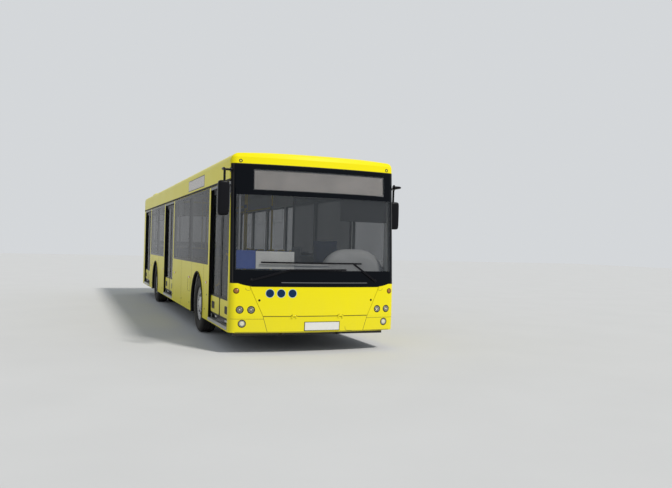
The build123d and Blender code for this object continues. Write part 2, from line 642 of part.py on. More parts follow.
# Cross members with outriggers, behind each of three marks
FRONT_CROSSES = (0, 750, 1450, 3200, 4050, 4950)
MIDDLE_CROSSES = (-2660, -1760, -860, 890)
REAR_CROSSES = (-1050, -150)
INNER_CROSSES = (FRONT_AXLE_Y - 420, FRONT_AXLE_Y + 420, REAR_AXLE_Y - 470, REAR_AXLE_Y + 530)
JACK_CROSSES = (RAIL_Y[0] + 1450, REAR_AXLE_Y - 860)
cross_ys = [RAIL_Y[0] + step for step in FRONT_CROSSES]
cross_ys += [REAR_AXLE_Y + step for step in MIDDLE_CROSSES]
cross_ys += [RAIL_Y[1] + step for step in REAR_CROSSES]
CROSS_Z = (RAIL_Z[1] - CROSS_H, RAIL_Z[1])
inner_x = RAIL_X - RAIL_W / 2 - SEAM
outer_x = RAIL_X + RAIL_W / 2 + SEAM
half = CROSS_W / 2
underframe = []
for side in (-1, 1):
    rail_x = side * RAIL_X
    underframe.append(block(rail_x - RAIL_W / 2, rail_x + RAIL_W / 2, *RAIL_Y, *RAIL_Z))
for cross_y in (*cross_ys, *INNER_CROSSES):
    underframe.append(block(-inner_x, inner_x, cross_y - half, cross_y + half, *CROSS_Z))
for cross_y in cross_ys:
    arm = block(outer_x, CROSS_END_X, cross_y - half, cross_y + half, *CROSS_Z)
    if cross_y in JACK_CROSSES:
        arm += Pos(JACK_X, cross_y, CROSS_Z[0] - JACK_PAD_DEPTH / 2 + 1) * Cylinder(JACK_PAD_R, JACK_PAD_DEPTH + 2)
    underframe += both_sides(arm)
TOW_EYE_Z = RAIL_Z[0] + 49
TOW_EYE_T = 30
TOW_EYE_BODY_R = 35
for end, rail_end in ((-1, RAIL_Y[0]), (1, RAIL_Y[1])):
    eye_y = rail_end + end * TOW_EYE_OUT
    near_x = RAIL_X - TOW_EYE_T / 2
    far_x = RAIL_X + TOW_EYE_T / 2
    eye = block(near_x, far_x, rail_end + end * FIT, eye_y, TOW_EYE_Z - TOW_EYE_BODY_R, TOW_EYE_Z + TOW_EYE_BODY_R)
    eye += rod((near_x, eye_y, TOW_EYE_Z), (far_x, eye_y, TOW_EYE_Z), TOW_EYE_BODY_R)
    eye -= rod((near_x - 1, eye_y, TOW_EYE_Z), (far_x + 1, eye_y, TOW_EYE_Z), TOW_EYE_R)
    underframe += both_sides(eye)
save("underframe", underframe)

# Floor plate, and what stands on it: wheel boxes, the driver's podium and the engine tower
PODIUM_Z = FLOOR_Z + PODIUM_H
PODIUM_Y = (FRONT_Y + PODIUM_START, FRONT_Y + PODIUM_END)
TOWER_Y = REAR_Y - TOWER_DEPTH
SIDE_X = HALF_W - WALL
floor = INNER & block(-WIDE, WIDE, AHEAD_Y, BEHIND_Y, FLOOR_Z - FLOOR_T, FLOOR_Z)


def box_outline(grow):
    """Side outline of a wheel box about the axle: upright ends, chamfers and a flat top."""
    radius = HOUSE_R + grow
    bend = radius * tan(radians(22.5))
    low = FLOOR_Z - FLOOR_T - HUB_Z
    return [(-radius, low), (-radius, bend), (-bend, radius), (bend, radius), (radius, bend), (radius, low)]


def box_plate(points, axle_y, start_x, end_x):
    """Flat-sided plate drawn in the side view and carried from one x to another."""
    face = Plane.YZ * make_face(Polyline(*points, close=True))
    return Pos(start_x, axle_y, HUB_Z) * extrude(face, amount=end_x - start_x)


floor_boxes = []
for axle_y, inner_x in ((FRONT_AXLE_Y, FRONT_HOUSE_X), (REAR_AXLE_Y, REAR_HOUSE_X)):
    cheek_x = inner_x + HOUSE_SKIN
    floor_boxes += both_sides(box_plate(box_outline(HOUSE_SKIN), axle_y, inner_x, cheek_x))
    inner_line = box_outline(0)
    outer_line = box_outline(HOUSE_SKIN)
    for step in range(len(inner_line) - 1):
        near, far = inner_line[step : step + 2]
        reach = SEAM / hypot(far[0] - near[0], far[1] - near[1])
        short = (far[0] + (near[0] - far[0]) * reach, far[1] + (near[1] - far[1]) * reach)
        near_out, far_out = outer_line[step : step + 2]
        short_out = (far_out[0] + (near[0] - far[0]) * reach, far_out[1] + (near[1] - far[1]) * reach)
        sheet = box_plate([near, short, short_out, near_out], axle_y, cheek_x + SEAM, SIDE_X)
        floor_boxes += both_sides(sheet)
    for piece in both_sides(box_plate(box_outline(HOUSE_SKIN + FIT), axle_y, inner_x - FIT, WIDE)):
        floor -= piece
floor -= block(TOWER_X + TOWER_SKIN, SIDE_X, TOWER_Y + TOWER_SKIN, BEHIND_Y, 0, FLOOR_Z)
floor_boxes.append(block(PODIUM_X, SIDE_X, *PODIUM_Y, FLOOR_Z, PODIUM_Z))
tower_skin_x = TOWER_X + TOWER_SKIN
tower_skin_y = TOWER_Y + TOWER_SKIN
tower_top = TOWER_Z - TOWER_SKIN
floor_boxes.append(block(TOWER_X, tower_skin_x, TOWER_Y, BEHIND_Y, FLOOR_Z, TOWER_Z) & INNER)
floor_boxes.append(block(tower_skin_x + SEAM, SIDE_X, TOWER_Y, tower_skin_y, FLOOR_Z, TOWER_Z) & INNER)
floor_boxes.append(block(tower_skin_x + SEAM, SIDE_X, tower_skin_y + SEAM, BEHIND_Y, tower_top, TOWER_Z) & INNER)
save("floor", floor)
save("floor_boxes", floor_boxes)

# Engine and gearbox as one plain block on feet that stand on the last cross members
ENGINE_Y = REAR_Y - ENGINE_BACK
FOOT_OUT = (250, 330)
engine = block(
    ENGINE_X - ENGINE_W / 2,
    ENGINE_X + ENGINE_W / 2,
    ENGINE_Y - ENGINE_L / 2,
    ENGINE_Y + ENGINE_L / 2,
    ENGINE_FOOT_Z,
    ENGINE_FOOT_Z + ENGINE_H,
)
for step in REAR_CROSSES:
    foot_y = RAIL_Y[1] + step
    for side in (-1, 1):
        foot_x = (ENGINE_X + side * FOOT_OUT[0], ENGINE_X + side * FOOT_OUT[1])
        engine += block(*foot_x, foot_y - half, foot_y + half, RAIL_Z[1], ENGINE_FOOT_Z)
save("engine", engine)

# Front axle: dropped beam with kingpin eyes and air springs
EYE_R = 46
EYE_H = 80
DROP_W = 80
DROP_OUT = 152
SPRING_R = 105
SPRING_X = 230
EYE_Z = (HUB_Z - EYE_H / 2, HUB_Z + EYE_H / 2)
DROP_X = (KINGPIN_X - DROP_OUT - DROP_W, KINGPIN_X - DROP_OUT)
half = BEAM_W / 2
spring_h = RAIL_Z[1] - BEAM_Z[1]
beam_x = DROP_X[0] - SEAM
front_axle = [block(-beam_x, beam_x, FRONT_AXLE_Y - half, FRONT_AXLE_Y + half, *BEAM_Z)]
arm = block(*DROP_X, FRONT_AXLE_Y - 50, FRONT_AXLE_Y + 50, BEAM_Z[0], EYE_Z[1])
arm += block(DROP_X[0], KINGPIN_X, FRONT_AXLE_Y - 40, FRONT_AXLE_Y + 40, *EYE_Z)
arm += Pos(KINGPIN_X, FRONT_AXLE_Y, HUB_Z) * Cylinder(EYE_R, EYE_H)
arm -= Pos(KINGPIN_X, FRONT_AXLE_Y, HUB_Z) * Cylinder(KINGPIN_R + FIT, EYE_H + 20)
front_axle += both_sides(arm)
spring = Cylinder(SPRING_R, spring_h - SEAM)
front_axle += both_sides(Pos(SPRING_X, FRONT_AXLE_Y, BEAM_Z[1] + (spring_h + SEAM) / 2) * spring)
save("front_axle", front_axle)

# Rear axle: low beam, drop cases at its ends and the stubs that carry the twin wheels
TWIN_INNER_X = TWIN_X - RIM_W / 2
CASE_W = 72
CASE_X = (TWIN_INNER_X - 73 - CASE_W, TWIN_INNER_X - 73)
STUB_END_X = WHEEL_X - 28
SHAFT_R = 52
SHAFT_L = 700
SPRING_Y = 330
REAR_BEAM_W = 180
beam_mid = (BEAM_Z[0] + BEAM_Z[1]) / 2
beam_x = CASE_X[0] - SEAM
half = REAR_BEAM_W / 2
seat_z = BEAM_Z[1] - 12
rear_axle = [block(-beam_x, beam_x, REAR_AXLE_Y - half, REAR_AXLE_Y + half, *BEAM_Z)]
shaft_y = (REAR_AXLE_Y + half + SEAM, REAR_AXLE_Y + SHAFT_L)
rear_axle.append(rod((0, shaft_y[0], beam_mid), (0, shaft_y[1], beam_mid), SHAFT_R))
case = block(*CASE_X, REAR_AXLE_Y - 110, REAR_AXLE_Y + 110, BEAM_Z[0], HUB_Z + 101)
case += rod((CASE_X[0], REAR_AXLE_Y, HUB_Z), (STUB_END_X, REAR_AXLE_Y, HUB_Z), REAR_STUB_R)
rear_axle += both_sides(case)
for along in (-1, 1):
    spring_y = REAR_AXLE_Y + along * SPRING_Y
    arm_y = (REAR_AXLE_Y + along * (half + SEAM), spring_y + along * 60)
    rear_axle += both_sides(block(SPRING_X - 40, SPRING_X + 40, *arm_y, BEAM_Z[0] + 20, seat_z - SEAM))
    spring = Cylinder(SPRING_R, RAIL_Z[1] - seat_z)
    rear_axle += both_sides(Pos(SPRING_X, spring_y, (RAIL_Z[1] + seat_z) / 2) * spring)
save("rear_axle", rear_axle)

# Steering knuckles: fork, kingpin and spindle
FORK_T = 26
FORK_X = (KINGPIN_X - 37, WHEEL_X)
SPINDLE_END_X = WHEEL_X + 91.5
far = EYE_H / 2 + FORK_T
knuckle = Pos(KINGPIN_X, FRONT_AXLE_Y, HUB_Z) * Cylinder(KINGPIN_R, 2 * far)
for end in (-1, 1):
    near = EYE_H / 2 + FIT
    fork_z = (HUB_Z + end * near, HUB_Z + end * far)
    knuckle += block(*FORK_X, FRONT_AXLE_Y - 40, FRONT_AXLE_Y + 40, *fork_z)
knuckle += block(FORK_X[1] - 20, FORK_X[1], FRONT_AXLE_Y - 52, FRONT_AXLE_Y + 52, HUB_Z - far, HUB_Z + far)
knuckle += rod((FORK_X[1] - 5, FRONT_AXLE_Y, HUB_Z), (SPINDLE_END_X, FRONT_AXLE_Y, HUB_Z), SPINDLE_R)
save("knuckle_left", knuckle)
save("knuckle_right", mirror_x(knuckle))

# Wheels, turned about the X axis
HALF_TYRE = TYRE_W / 2
# Offset from the tyre's middle and radius
TYRE_PROFILE = (
    (-HALF_TYRE + 25.5, BEAD_R),
    (-HALF_TYRE + 5.5, BEAD_R + 44),
    (-HALF_TYRE, BEAD_R + 89),
    (-HALF_TYRE + 4.5, TYRE_R - 54),
    (-HALF_TYRE + 17.5, TYRE_R - 17),
    (-HALF_TYRE + 41.5, TYRE_R - 3),
    (0, TYRE_R),
    (HALF_TYRE - 41.5, TYRE_R - 3),
    (HALF_TYRE - 17.5, TYRE_R - 17),
    (HALF_TYRE - 4.5, TYRE_R - 54),
    (HALF_TYRE, BEAD_R + 89),
    (HALF_TYRE - 5.5, BEAD_R + 44),
    (HALF_TYRE - 25.5, BEAD_R),
)
DISC_T = 14
DISC_R = BEAD_R - 10
HAND_HOLES = 10
HAND_HOLE_R = 28
HAND_CIRCLE_R = 205
FRONT_DISC_X = WHEEL_X + 65.5
REAR_DISC_X = WHEEL_X - 94.5
TWIN_DISC_X = TWIN_X + 78.5


def turned(points, centre_x, centre_y):
    """Solid turned about the wheel's axis from a profile of x offset and radius."""
    face = make_face(Polyline(*points, close=True))
    return Pos(centre_x, centre_y, HUB_Z) * revolve(face, Axis.X, 360)


def barrel(centre_x, axle_y):
    """Rim barrel with its two flanges."""
    half = RIM_W / 2
    low = BEAD_R - RIM_SKIN
    lip = BEAD_R + 12
    points = [(-half, low), (half, low), (half, lip), (half - 8, lip)]
    points += [(half - 8, BEAD_R), (8 - half, BEAD_R), (8 - half, lip), (-half, lip)]
    return turned(points, centre_x, axle_y)


def disc(x0, x1, r0, r1, axle_y):
    return turned(((x0, r0), (x1, r0), (x1, r1), (x0, r1)), 0, axle_y)


def hand_holes(x, axle_y):
    """Round holes through a wheel disc."""
    holes = []
    for step in range(HAND_HOLES):
        angle = radians(360 / HAND_HOLES * step)
        hole_y = axle_y + HAND_CIRCLE_R * cos(angle)
        hole_z = HUB_Z + HAND_CIRCLE_R * sin(angle)
        holes.append(rod((x - DISC_T, hole_y, hole_z), (x + 2 * DISC_T, hole_y, hole_z), HAND_HOLE_R))
    return holes


front_rim = barrel(WHEEL_X, FRONT_AXLE_Y)
front_rim += disc(FRONT_DISC_X, FRONT_DISC_X + DISC_T, SPINDLE_R + FIT, DISC_R, FRONT_AXLE_Y)
front_rim += disc(WHEEL_X + 7.5, WHEEL_X + 93.5, SPINDLE_R + FIT, 112, FRONT_AXLE_Y)
front_rim -= hand_holes(FRONT_DISC_X, FRONT_AXLE_Y)
tyre = turned(TYRE_PROFILE, WHEEL_X, FRONT_AXLE_Y) - barrel(WHEEL_X, FRONT_AXLE_Y)
save("rim_front_left", front_rim)
save("rim_front_right", mirror_x(front_rim))
save("tyre_front_left", tyre)
save("tyre_front_right", mirror_x(tyre))
rear_rim = barrel(WHEEL_X, REAR_AXLE_Y) + barrel(TWIN_X, REAR_AXLE_Y)
for disc_x in (REAR_DISC_X, TWIN_DISC_X):
    rear_rim += disc(disc_x, disc_x + DISC_T, 100, DISC_R, REAR_AXLE_Y)
rear_rim += disc(TWIN_DISC_X, WHEEL_X - 24.5, REAR_STUB_R + FIT, 120, REAR_AXLE_Y)
rear_rim -= hand_holes(REAR_DISC_X, REAR_AXLE_Y)
rear_tyres = []
for tyre_x in (TWIN_X, WHEEL_X):
    rear_tyres.append(turned(TYRE_PROFILE, tyre_x, REAR_AXLE_Y) - barrel(tyre_x, REAR_AXLE_Y))
save("rim_rear_left", rear_rim)
save("rim_rear_right", mirror_x(rear_rim))
save("tyres_rear_left", rear_tyres)
save("tyres_rear_right", [mirror_x(item) for item in rear_tyres])

# Door leaves, and the posts with their two arms
LEAF_W = DOOR_W / 2 - LEAF_EDGE_GAP - LEAF_MEET_GAP
LEAF_Z = (FLOOR_Z + LEAF_LIFT, DOOR_TOP_Z - LEAF_DROP)
LEAF_PLANE_X = -SIDE_X
for door_name, start in DOORS:
    for leaf_name, jamb, along in (("fore", start, 1), ("aft", start + DOOR_W, -1)):
        edge = jamb + along * LEAF_EDGE_GAP
        tip = edge + along * LEAF_W
        pin_y = edge + along * LEAF_W / 2
        pin_x = LEAF_PLANE_X + PIVOT_INBOARD
        post_x = LEAF_PLANE_X + POST_INBOARD
        post_y = jamb - along * POST_BEHIND
        outer_x = LEAF_PLANE_X - LEAF_T / 2
        inner_x = LEAF_PLANE_X + LEAF_T / 2
        glass_z = (LEAF_Z[0] + LEAF_KICK_H, LEAF_Z[1] - LEAF_HEAD)
        window = (edge + along * LEAF_STILE, tip - along * LEAF_STILE, *glass_z)
        leaf = block(outer_x, inner_x, edge, tip, *LEAF_Z)
        leaf -= block(outer_x - 1, inner_x + 1, *window)
        glass_x = outer_x + 5
        glass = block(glass_x, glass_x + GLASS_T, *window)
        post = rod((post_x, post_y, FLOOR_Z + FIT), (post_x, post_y, GEAR_Z[0] - FIT), POST_R)
        reach = Vector(pin_x - post_x, pin_y - post_y, 0)
        middle = ((pin_x + post_x) / 2, (pin_y + post_y) / 2)
        # Underside of each arm and the end of its pin in the leaf
        arms = (
            (LEAF_Z[1] + ARM_GAP, LEAF_Z[1] - PIN_DEPTH),
            (LEAF_Z[0] - ARM_GAP - ARM_T, LEAF_Z[0] + PIN_DEPTH),
        )
        for arm_z, pin_end in arms:
            plane = Plane(origin=(*middle, arm_z), x_dir=reach, z_dir=(0, 0, 1))
            pin = ((pin_x, pin_y, arm_z + ARM_T / 2), (pin_x, pin_y, pin_end))
            post += extrude(plane * SlotCenterToCenter(reach.length, ARM_W), amount=ARM_T)
            post += rod(*pin, PIN_R)
            leaf -= rod(*pin, PIN_R + FIT)
        save(f"door_{door_name}_{leaf_name}_post", post)
        save(f"door_{door_name}_{leaf_name}_leaf", leaf)
        save(f"door_{door_name}_{leaf_name}_glass", glass)

# Mirrors: the one on the door side hangs ahead of its corner, the driver's beside the front pane
MIRROR_X = (HALF_W + 60, HALF_W + 220)
MIRROR_DEPTH = 110
MIRROR_ARM_T = 36
MIRROR_ARM_W = 40
arm_x = (MIRROR_X[0] + 50, MIRROR_X[0] + 90)
arm_root_y = (FRONT_Y + 204, FRONT_Y + 244)
# Side, front of the head, its foot and top, underside of the arm and where the arm drops
MIRRORS = (
    (-1, FRONT_Y - 10, ROOF_Z - 924, ROOF_Z - 398, ROOF_Z - 298, FRONT_Y + 25),
    (1, FRONT_Y + 440, ROOF_Z - 1024, ROOF_Z - 598, ROOF_Z - 408, FRONT_Y + 475),
)
mirrors = []
for side, head_y, foot_z, top_z, arm_z, drop_y in MIRRORS:
    arm_top = arm_z + MIRROR_ARM_T
    drop = (drop_y, drop_y + MIRROR_ARM_W)
    along = (min(drop[0], arm_root_y[0]), max(drop[1], arm_root_y[1]))
    mirror_set = block(HALF_W - 100, arm_x[1], *arm_root_y, arm_z, arm_top)
    mirror_set += block(*arm_x, *along, arm_z, arm_top)
    mirror_set += block(*arm_x, *drop, top_z - 10, arm_top)
    mirror_head = block(*MIRROR_X, head_y, head_y + MIRROR_DEPTH, foot_z, top_z)
    mirror_set += fillet(mirror_head.edges().filter_by(Axis.Z), 30)
    mirror_set -= OUTER
    mirror_set = mirror_set.solids().sort_by(SortBy.VOLUME)[-1]
    mirrors.append(mirror_set if side > 0 else mirror_x(mirror_set))
save("mirrors", mirrors)

# Wipers lie on the glass: start, end and width of each arm and blade in the front view
WIPER_T = 16
ARM_FOOT_Z = SCREEN_BASE_Z + 85
BLADE_Z = ARM_FOOT_Z + 250
wiper_skin = (body_solid(-WIPER_T) - OUTER) & block(-WIDE, WIDE, AHEAD_Y, FRONT_Y + 400, 900, BLADE_Z + 200)
WIPER_STROKES = (
    ((910, ARM_FOOT_Z), (535, BLADE_Z + 4), 26),
    ((-823, BLADE_Z), (670, BLADE_Z), 22),
    ((-960, ARM_FOOT_Z), (-420, BLADE_Z - 100), 26),
    ((-420, BLADE_Z - 100), (420, BLADE_Z - 92), 22),
)
strokes = []
for start, end, width in WIPER_STROKES:
    middle = ((start[0] + end[0]) / 2, (start[1] + end[1]) / 2)
    length = hypot(end[0] - start[0], end[1] - start[1])
    lean = degrees(atan2(end[1] - start[1], end[0] - start[0]))
    shape = Pos(*middle) * Rot(0, 0, lean) * SlotOverall(length + width, width)
    strokes.append(front_region(Plane.XZ * shape))
save("wipers", [wiper_skin & (strokes[0] + strokes[1]), wiper_skin & (strokes[2] + strokes[3])])

# Dashboard: a shelf under the glass, the instrument hood, a cabinet and the steering column
STEER_X = 660
STEER_Y = FRONT_Y + 940
STEER_Z = PODIUM_Z + 790
STEER_R = 225
COLUMN_TILT = 25
DASH_TOP_Z = PODIUM_Z + 520
CABINET_Y = (FRONT_Y + 270, FRONT_Y + 670)
SHELF_Z = (DASH_TOP_Z - 60, DASH_TOP_Z)
column_dir = Vector(0, sin(radians(COLUMN_TILT)), cos(radians(COLUMN_TILT)))
steer_centre = Vector(STEER_X, STEER_Y, STEER_Z)
shelf = block(PODIUM_X, SIDE_X, FRONT_Y, CABINET_Y[1], *SHELF_Z)
shelf += block(STEER_X - 330, STEER_X + 340, FRONT_Y + 360, FRONT_Y + 720, SHELF_Z[0], DASH_TOP_Z + 130)
shelf += rod(tuple(steer_centre - column_dir * 430), tuple(steer_centre - column_dir * (24 + FIT)), 38)
shelf += block(STEER_X - 60, STEER_X + 60, FRONT_Y + 600, FRONT_Y + 800, DASH_TOP_Z - 160, SHELF_Z[1])
cabinet = block(PODIUM_X, SIDE_X, *CABINET_Y, PODIUM_Z, SHELF_Z[0] - SEAM)
cabinet -= block(STEER_X - 60 - SEAM, STEER_X + 60 + SEAM, FRONT_Y + 600 - SEAM, REAR_Y, DASH_TOP_Z - 160 - SEAM, TALL)
dash_room = body_solid(WALL + 1)
save("dashboard", [shelf & dash_room, cabinet & dash_room])
plane = Plane(origin=steer_centre, z_dir=column_dir)
steering_wheel = plane * Torus(STEER_R, 15)
steering_wheel += plane * Pos(0, 0, -9) * Cylinder(52, 30)
for spoke in range(3):
    steering_wheel += plane * Rot(0, 0, 30 + 120 * spoke) * Pos(STEER_R / 2, 0, -4) * Box(STEER_R, 36, 12)
save("steering_wheel", steering_wheel)

# Driver's seat and the cab's rear wall
SEAT_BACK_Y = STEER_Y + 600
CAB_WALL_Y = PODIUM_Y[1] - 40
CAB_WALL_T = 25
CUSHION_Z = (PODIUM_Z + 340, PODIUM_Z + 430)
cushion = block(STEER_X - 220, STEER_X + 220, SEAT_BACK_Y - 440, SEAT_BACK_Y, *CUSHION_Z)
backrest = block(STEER_X - 210, STEER_X + 210, SEAT_BACK_Y - 40, SEAT_BACK_Y + 50, CUSHION_Z[1] + FIT, PODIUM_Z + 1080)
pedestal = block(STEER_X - 100, STEER_X + 100, SEAT_BACK_Y - 320, SEAT_BACK_Y - 100, PODIUM_Z, CUSHION_Z[0] - FIT)
cab_wall = block(PODIUM_X, SIDE_X, CAB_WALL_Y, CAB_WALL_Y + CAB_WALL_T, PODIUM_Z, WINDOW_TOP_Z - 70)
cab_side = block(PODIUM_X, PODIUM_X + CAB_WALL_T, CAB_WALL_Y - 430, CAB_WALL_Y - SEAM, PODIUM_Z, PODIUM_Z + 960)
save("cab", [cushion, backrest, pedestal, cab_wall, cab_side])

# Passenger seats: each row's station and the seats across it
SEAT_W = 430
WINDOW_SEAT_X = HALF_W - 295
AISLE_SEAT_X = 505
SEAT_PITCH = 770
PAIR = (AISLE_SEAT_X, WINDOW_SEAT_X)
first_row = FRONT_AXLE_Y + 950
middle_row = MIDDLE_DOOR_Y + DOOR_W + 260
last_row = REAR_AXLE_Y + 970
SEAT_ROWS = (
    (first_row, (-WINDOW_SEAT_X, -AISLE_SEAT_X, *PAIR)),
    (first_row + SEAT_PITCH, (-WINDOW_SEAT_X, -AISLE_SEAT_X, *PAIR)),
    (first_row + 2 * SEAT_PITCH, (-WINDOW_SEAT_X, *PAIR)),
    (middle_row, (-WINDOW_SEAT_X, -AISLE_SEAT_X, *PAIR)),
    (last_row, (-WINDOW_SEAT_X, *PAIR)),
)
PAD_Z = (FLOOR_Z + 400, FLOOR_Z + 460)
BACK_TOP_Z = FLOOR_Z + 1040
seats = []
for seat_y, places in SEAT_ROWS:
    for seat_x in places:
        across = (seat_x - SEAT_W / 2, seat_x + SEAT_W / 2)
        seat = block(*across, seat_y - 210, seat_y + 210, *PAD_Z)
        seat += block(*across, seat_y + 165, seat_y + 215, PAD_Z[0], BACK_TOP_Z)
        seat += block(seat_x - 90, seat_x + 90, seat_y - 90, seat_y + 130, FLOOR_Z, PAD_Z[0] + 10)
        seats.append(seat)
save("seats", seats)

# Handrails: upright poles from floor to ceiling, and rails between them
POLE_R = 17
POLE_X = 260
RAIL_TOP_Z = FLOOR_Z + 1870
first_pole = FRONT_AXLE_Y + 720
middle_pole = MIDDLE_DOOR_Y - 320
third_pole = MIDDLE_DOOR_Y + DOOR_W + 170
rear_hatch_y = ROOF_HATCHES[1][1]
POLES = (
    (-POLE_X, first_pole),
    (POLE_X, first_pole),
    (-POLE_X, middle_pole),
    (POLE_X, middle_pole),
    (-POLE_X, third_pole),
    (POLE_X, third_pole),
    (-POLE_X, rear_hatch_y - FRAME_Y - 50),
    (200, rear_hatch_y + FRAME_Y + 50),
)
handrails = [rod((*pole, FLOOR_Z), (*pole, ROOF_Z), POLE_R) & INNER for pole in POLES]
for side in (-1, 1):
    for start, end in ((first_pole, middle_pole), (middle_pole, third_pole)):
        near = (side * POLE_X, start + POLE_R + SEAM, RAIL_TOP_Z)
        handrails.append(rod(near, (side * POLE_X, end - POLE_R - SEAM, RAIL_TOP_Z), POLE_R))
save("handrails", handrails)
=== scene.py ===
"""Looks of a 12 m low-floor city bus: paint, glass, rubber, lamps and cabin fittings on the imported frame."""
import math

import bmesh
import bpy
from mathutils import Matrix, Vector


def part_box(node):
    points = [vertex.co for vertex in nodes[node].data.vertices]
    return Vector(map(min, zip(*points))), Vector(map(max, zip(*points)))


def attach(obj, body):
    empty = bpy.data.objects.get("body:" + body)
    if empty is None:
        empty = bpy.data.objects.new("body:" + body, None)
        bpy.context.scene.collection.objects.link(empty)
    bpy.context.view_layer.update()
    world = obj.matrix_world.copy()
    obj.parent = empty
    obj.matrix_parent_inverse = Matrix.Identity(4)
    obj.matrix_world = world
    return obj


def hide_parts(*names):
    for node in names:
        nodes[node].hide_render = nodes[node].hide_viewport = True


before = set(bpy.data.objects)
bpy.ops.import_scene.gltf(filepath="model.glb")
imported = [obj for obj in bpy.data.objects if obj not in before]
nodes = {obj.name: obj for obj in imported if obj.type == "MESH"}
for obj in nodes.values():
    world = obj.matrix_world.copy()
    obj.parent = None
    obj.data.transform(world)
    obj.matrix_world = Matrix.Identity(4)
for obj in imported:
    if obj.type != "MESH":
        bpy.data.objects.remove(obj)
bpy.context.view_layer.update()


# Viewpoint: a standing photographer ahead of the door-side front corner, with a normal lens.
# The place, turn and tilt come from fitting the bus's known sizes to the photograph.
EYE = Vector((-3.329, -15.259, 1.532))
TURN, RISE, LEAN = math.radians(21.134), math.radians(0.172), math.radians(1.474)
LENS_MM, SENSOR_MM, FARTHEST = 37.03, 36.0, 400
ahead = Vector((math.sin(TURN) * math.cos(RISE), math.cos(TURN) * math.cos(RISE), math.sin(RISE)))
level_right = Vector((math.cos(TURN), -math.sin(TURN), 0))
level_up = level_right.cross(ahead)
right = level_right * math.cos(LEAN) + level_up * math.sin(LEAN)
up = right.cross(ahead)
camera = bpy.data.objects.new("camera", bpy.data.cameras.new("camera"))
camera.data.lens, camera.data.sensor_width = LENS_MM, SENSOR_MM
camera.data.clip_end = FARTHEST
camera.matrix_world = Matrix((right, up, -ahead)).transposed().to_4x4()
camera.matrix_world.translation = EYE
bpy.context.scene.collection.objects.link(camera)
bpy.context.scene.camera = camera
bpy.context.scene.view_settings.view_transform = "Standard"


# Floor and studio light: a pale matt floor that keeps the bus's shadow, a soft sky all round
# and one broad sun-like lamp from the front left, where the photograph's light comes from.
FLOOR_HALF = 60.0
FLOOR_PALE, FLOOR_PALER = (0.53, 0.53, 0.525), (0.57, 0.57, 0.565)
SKY, BACKDROP = ((0.85, 0.92, 1.0, 1), 0.54), ((0.66, 0.68, 0.70, 1), 1.0)
SUN_COLOUR, SUN_POWER, SUN_WIDTH = (1.0, 0.97, 0.92), 2.9, math.radians(8)
SUN_TILT, SUN_TURN = math.radians(41), math.radians(28)


class Value:
    """A shader value: arithmetic on it adds Math nodes."""

    def __init__(self, finish, socket):
        self.finish, self.socket = finish, socket

    def _math(self, operation, *terms, clamp=False):
        settings = {"operation": operation, "use_clamp": clamp}
        return self.finish.node("ShaderNodeMath", settings, dict(enumerate(terms)))

    def __add__(self, other):
        return self._math("ADD", self, other)

    def __sub__(self, other):
        return self._math("SUBTRACT", self, other)

    def __rsub__(self, other):
        return self._math("SUBTRACT", other, self)

    def __mul__(self, other):
        return self._math("MULTIPLY", self, other)

    __radd__ = __add__
    __rmul__ = __mul__

    def size(self):
        return self._math("ABSOLUTE", self)

    def wave(self):
        return self._math("SINE", self)

    def fraction(self):
        return self._math("FRACT", self)

    def clip(self):
        return self._math("ADD", self, 0.0, clamp=True)

    def most(self, other):
        return self._math("MAXIMUM", self, other)

    def over(self, edge, soft=0.0):
        """1 past the edge and 0 before it, blended over the soft width."""
        if not soft:
            return self._math("GREATER_THAN", self, edge)
        return ((self - edge) * (1 / soft) + 0.5).clip()

    def under(self, edge, soft=0.0):
        return 1 - self.over(edge, soft)


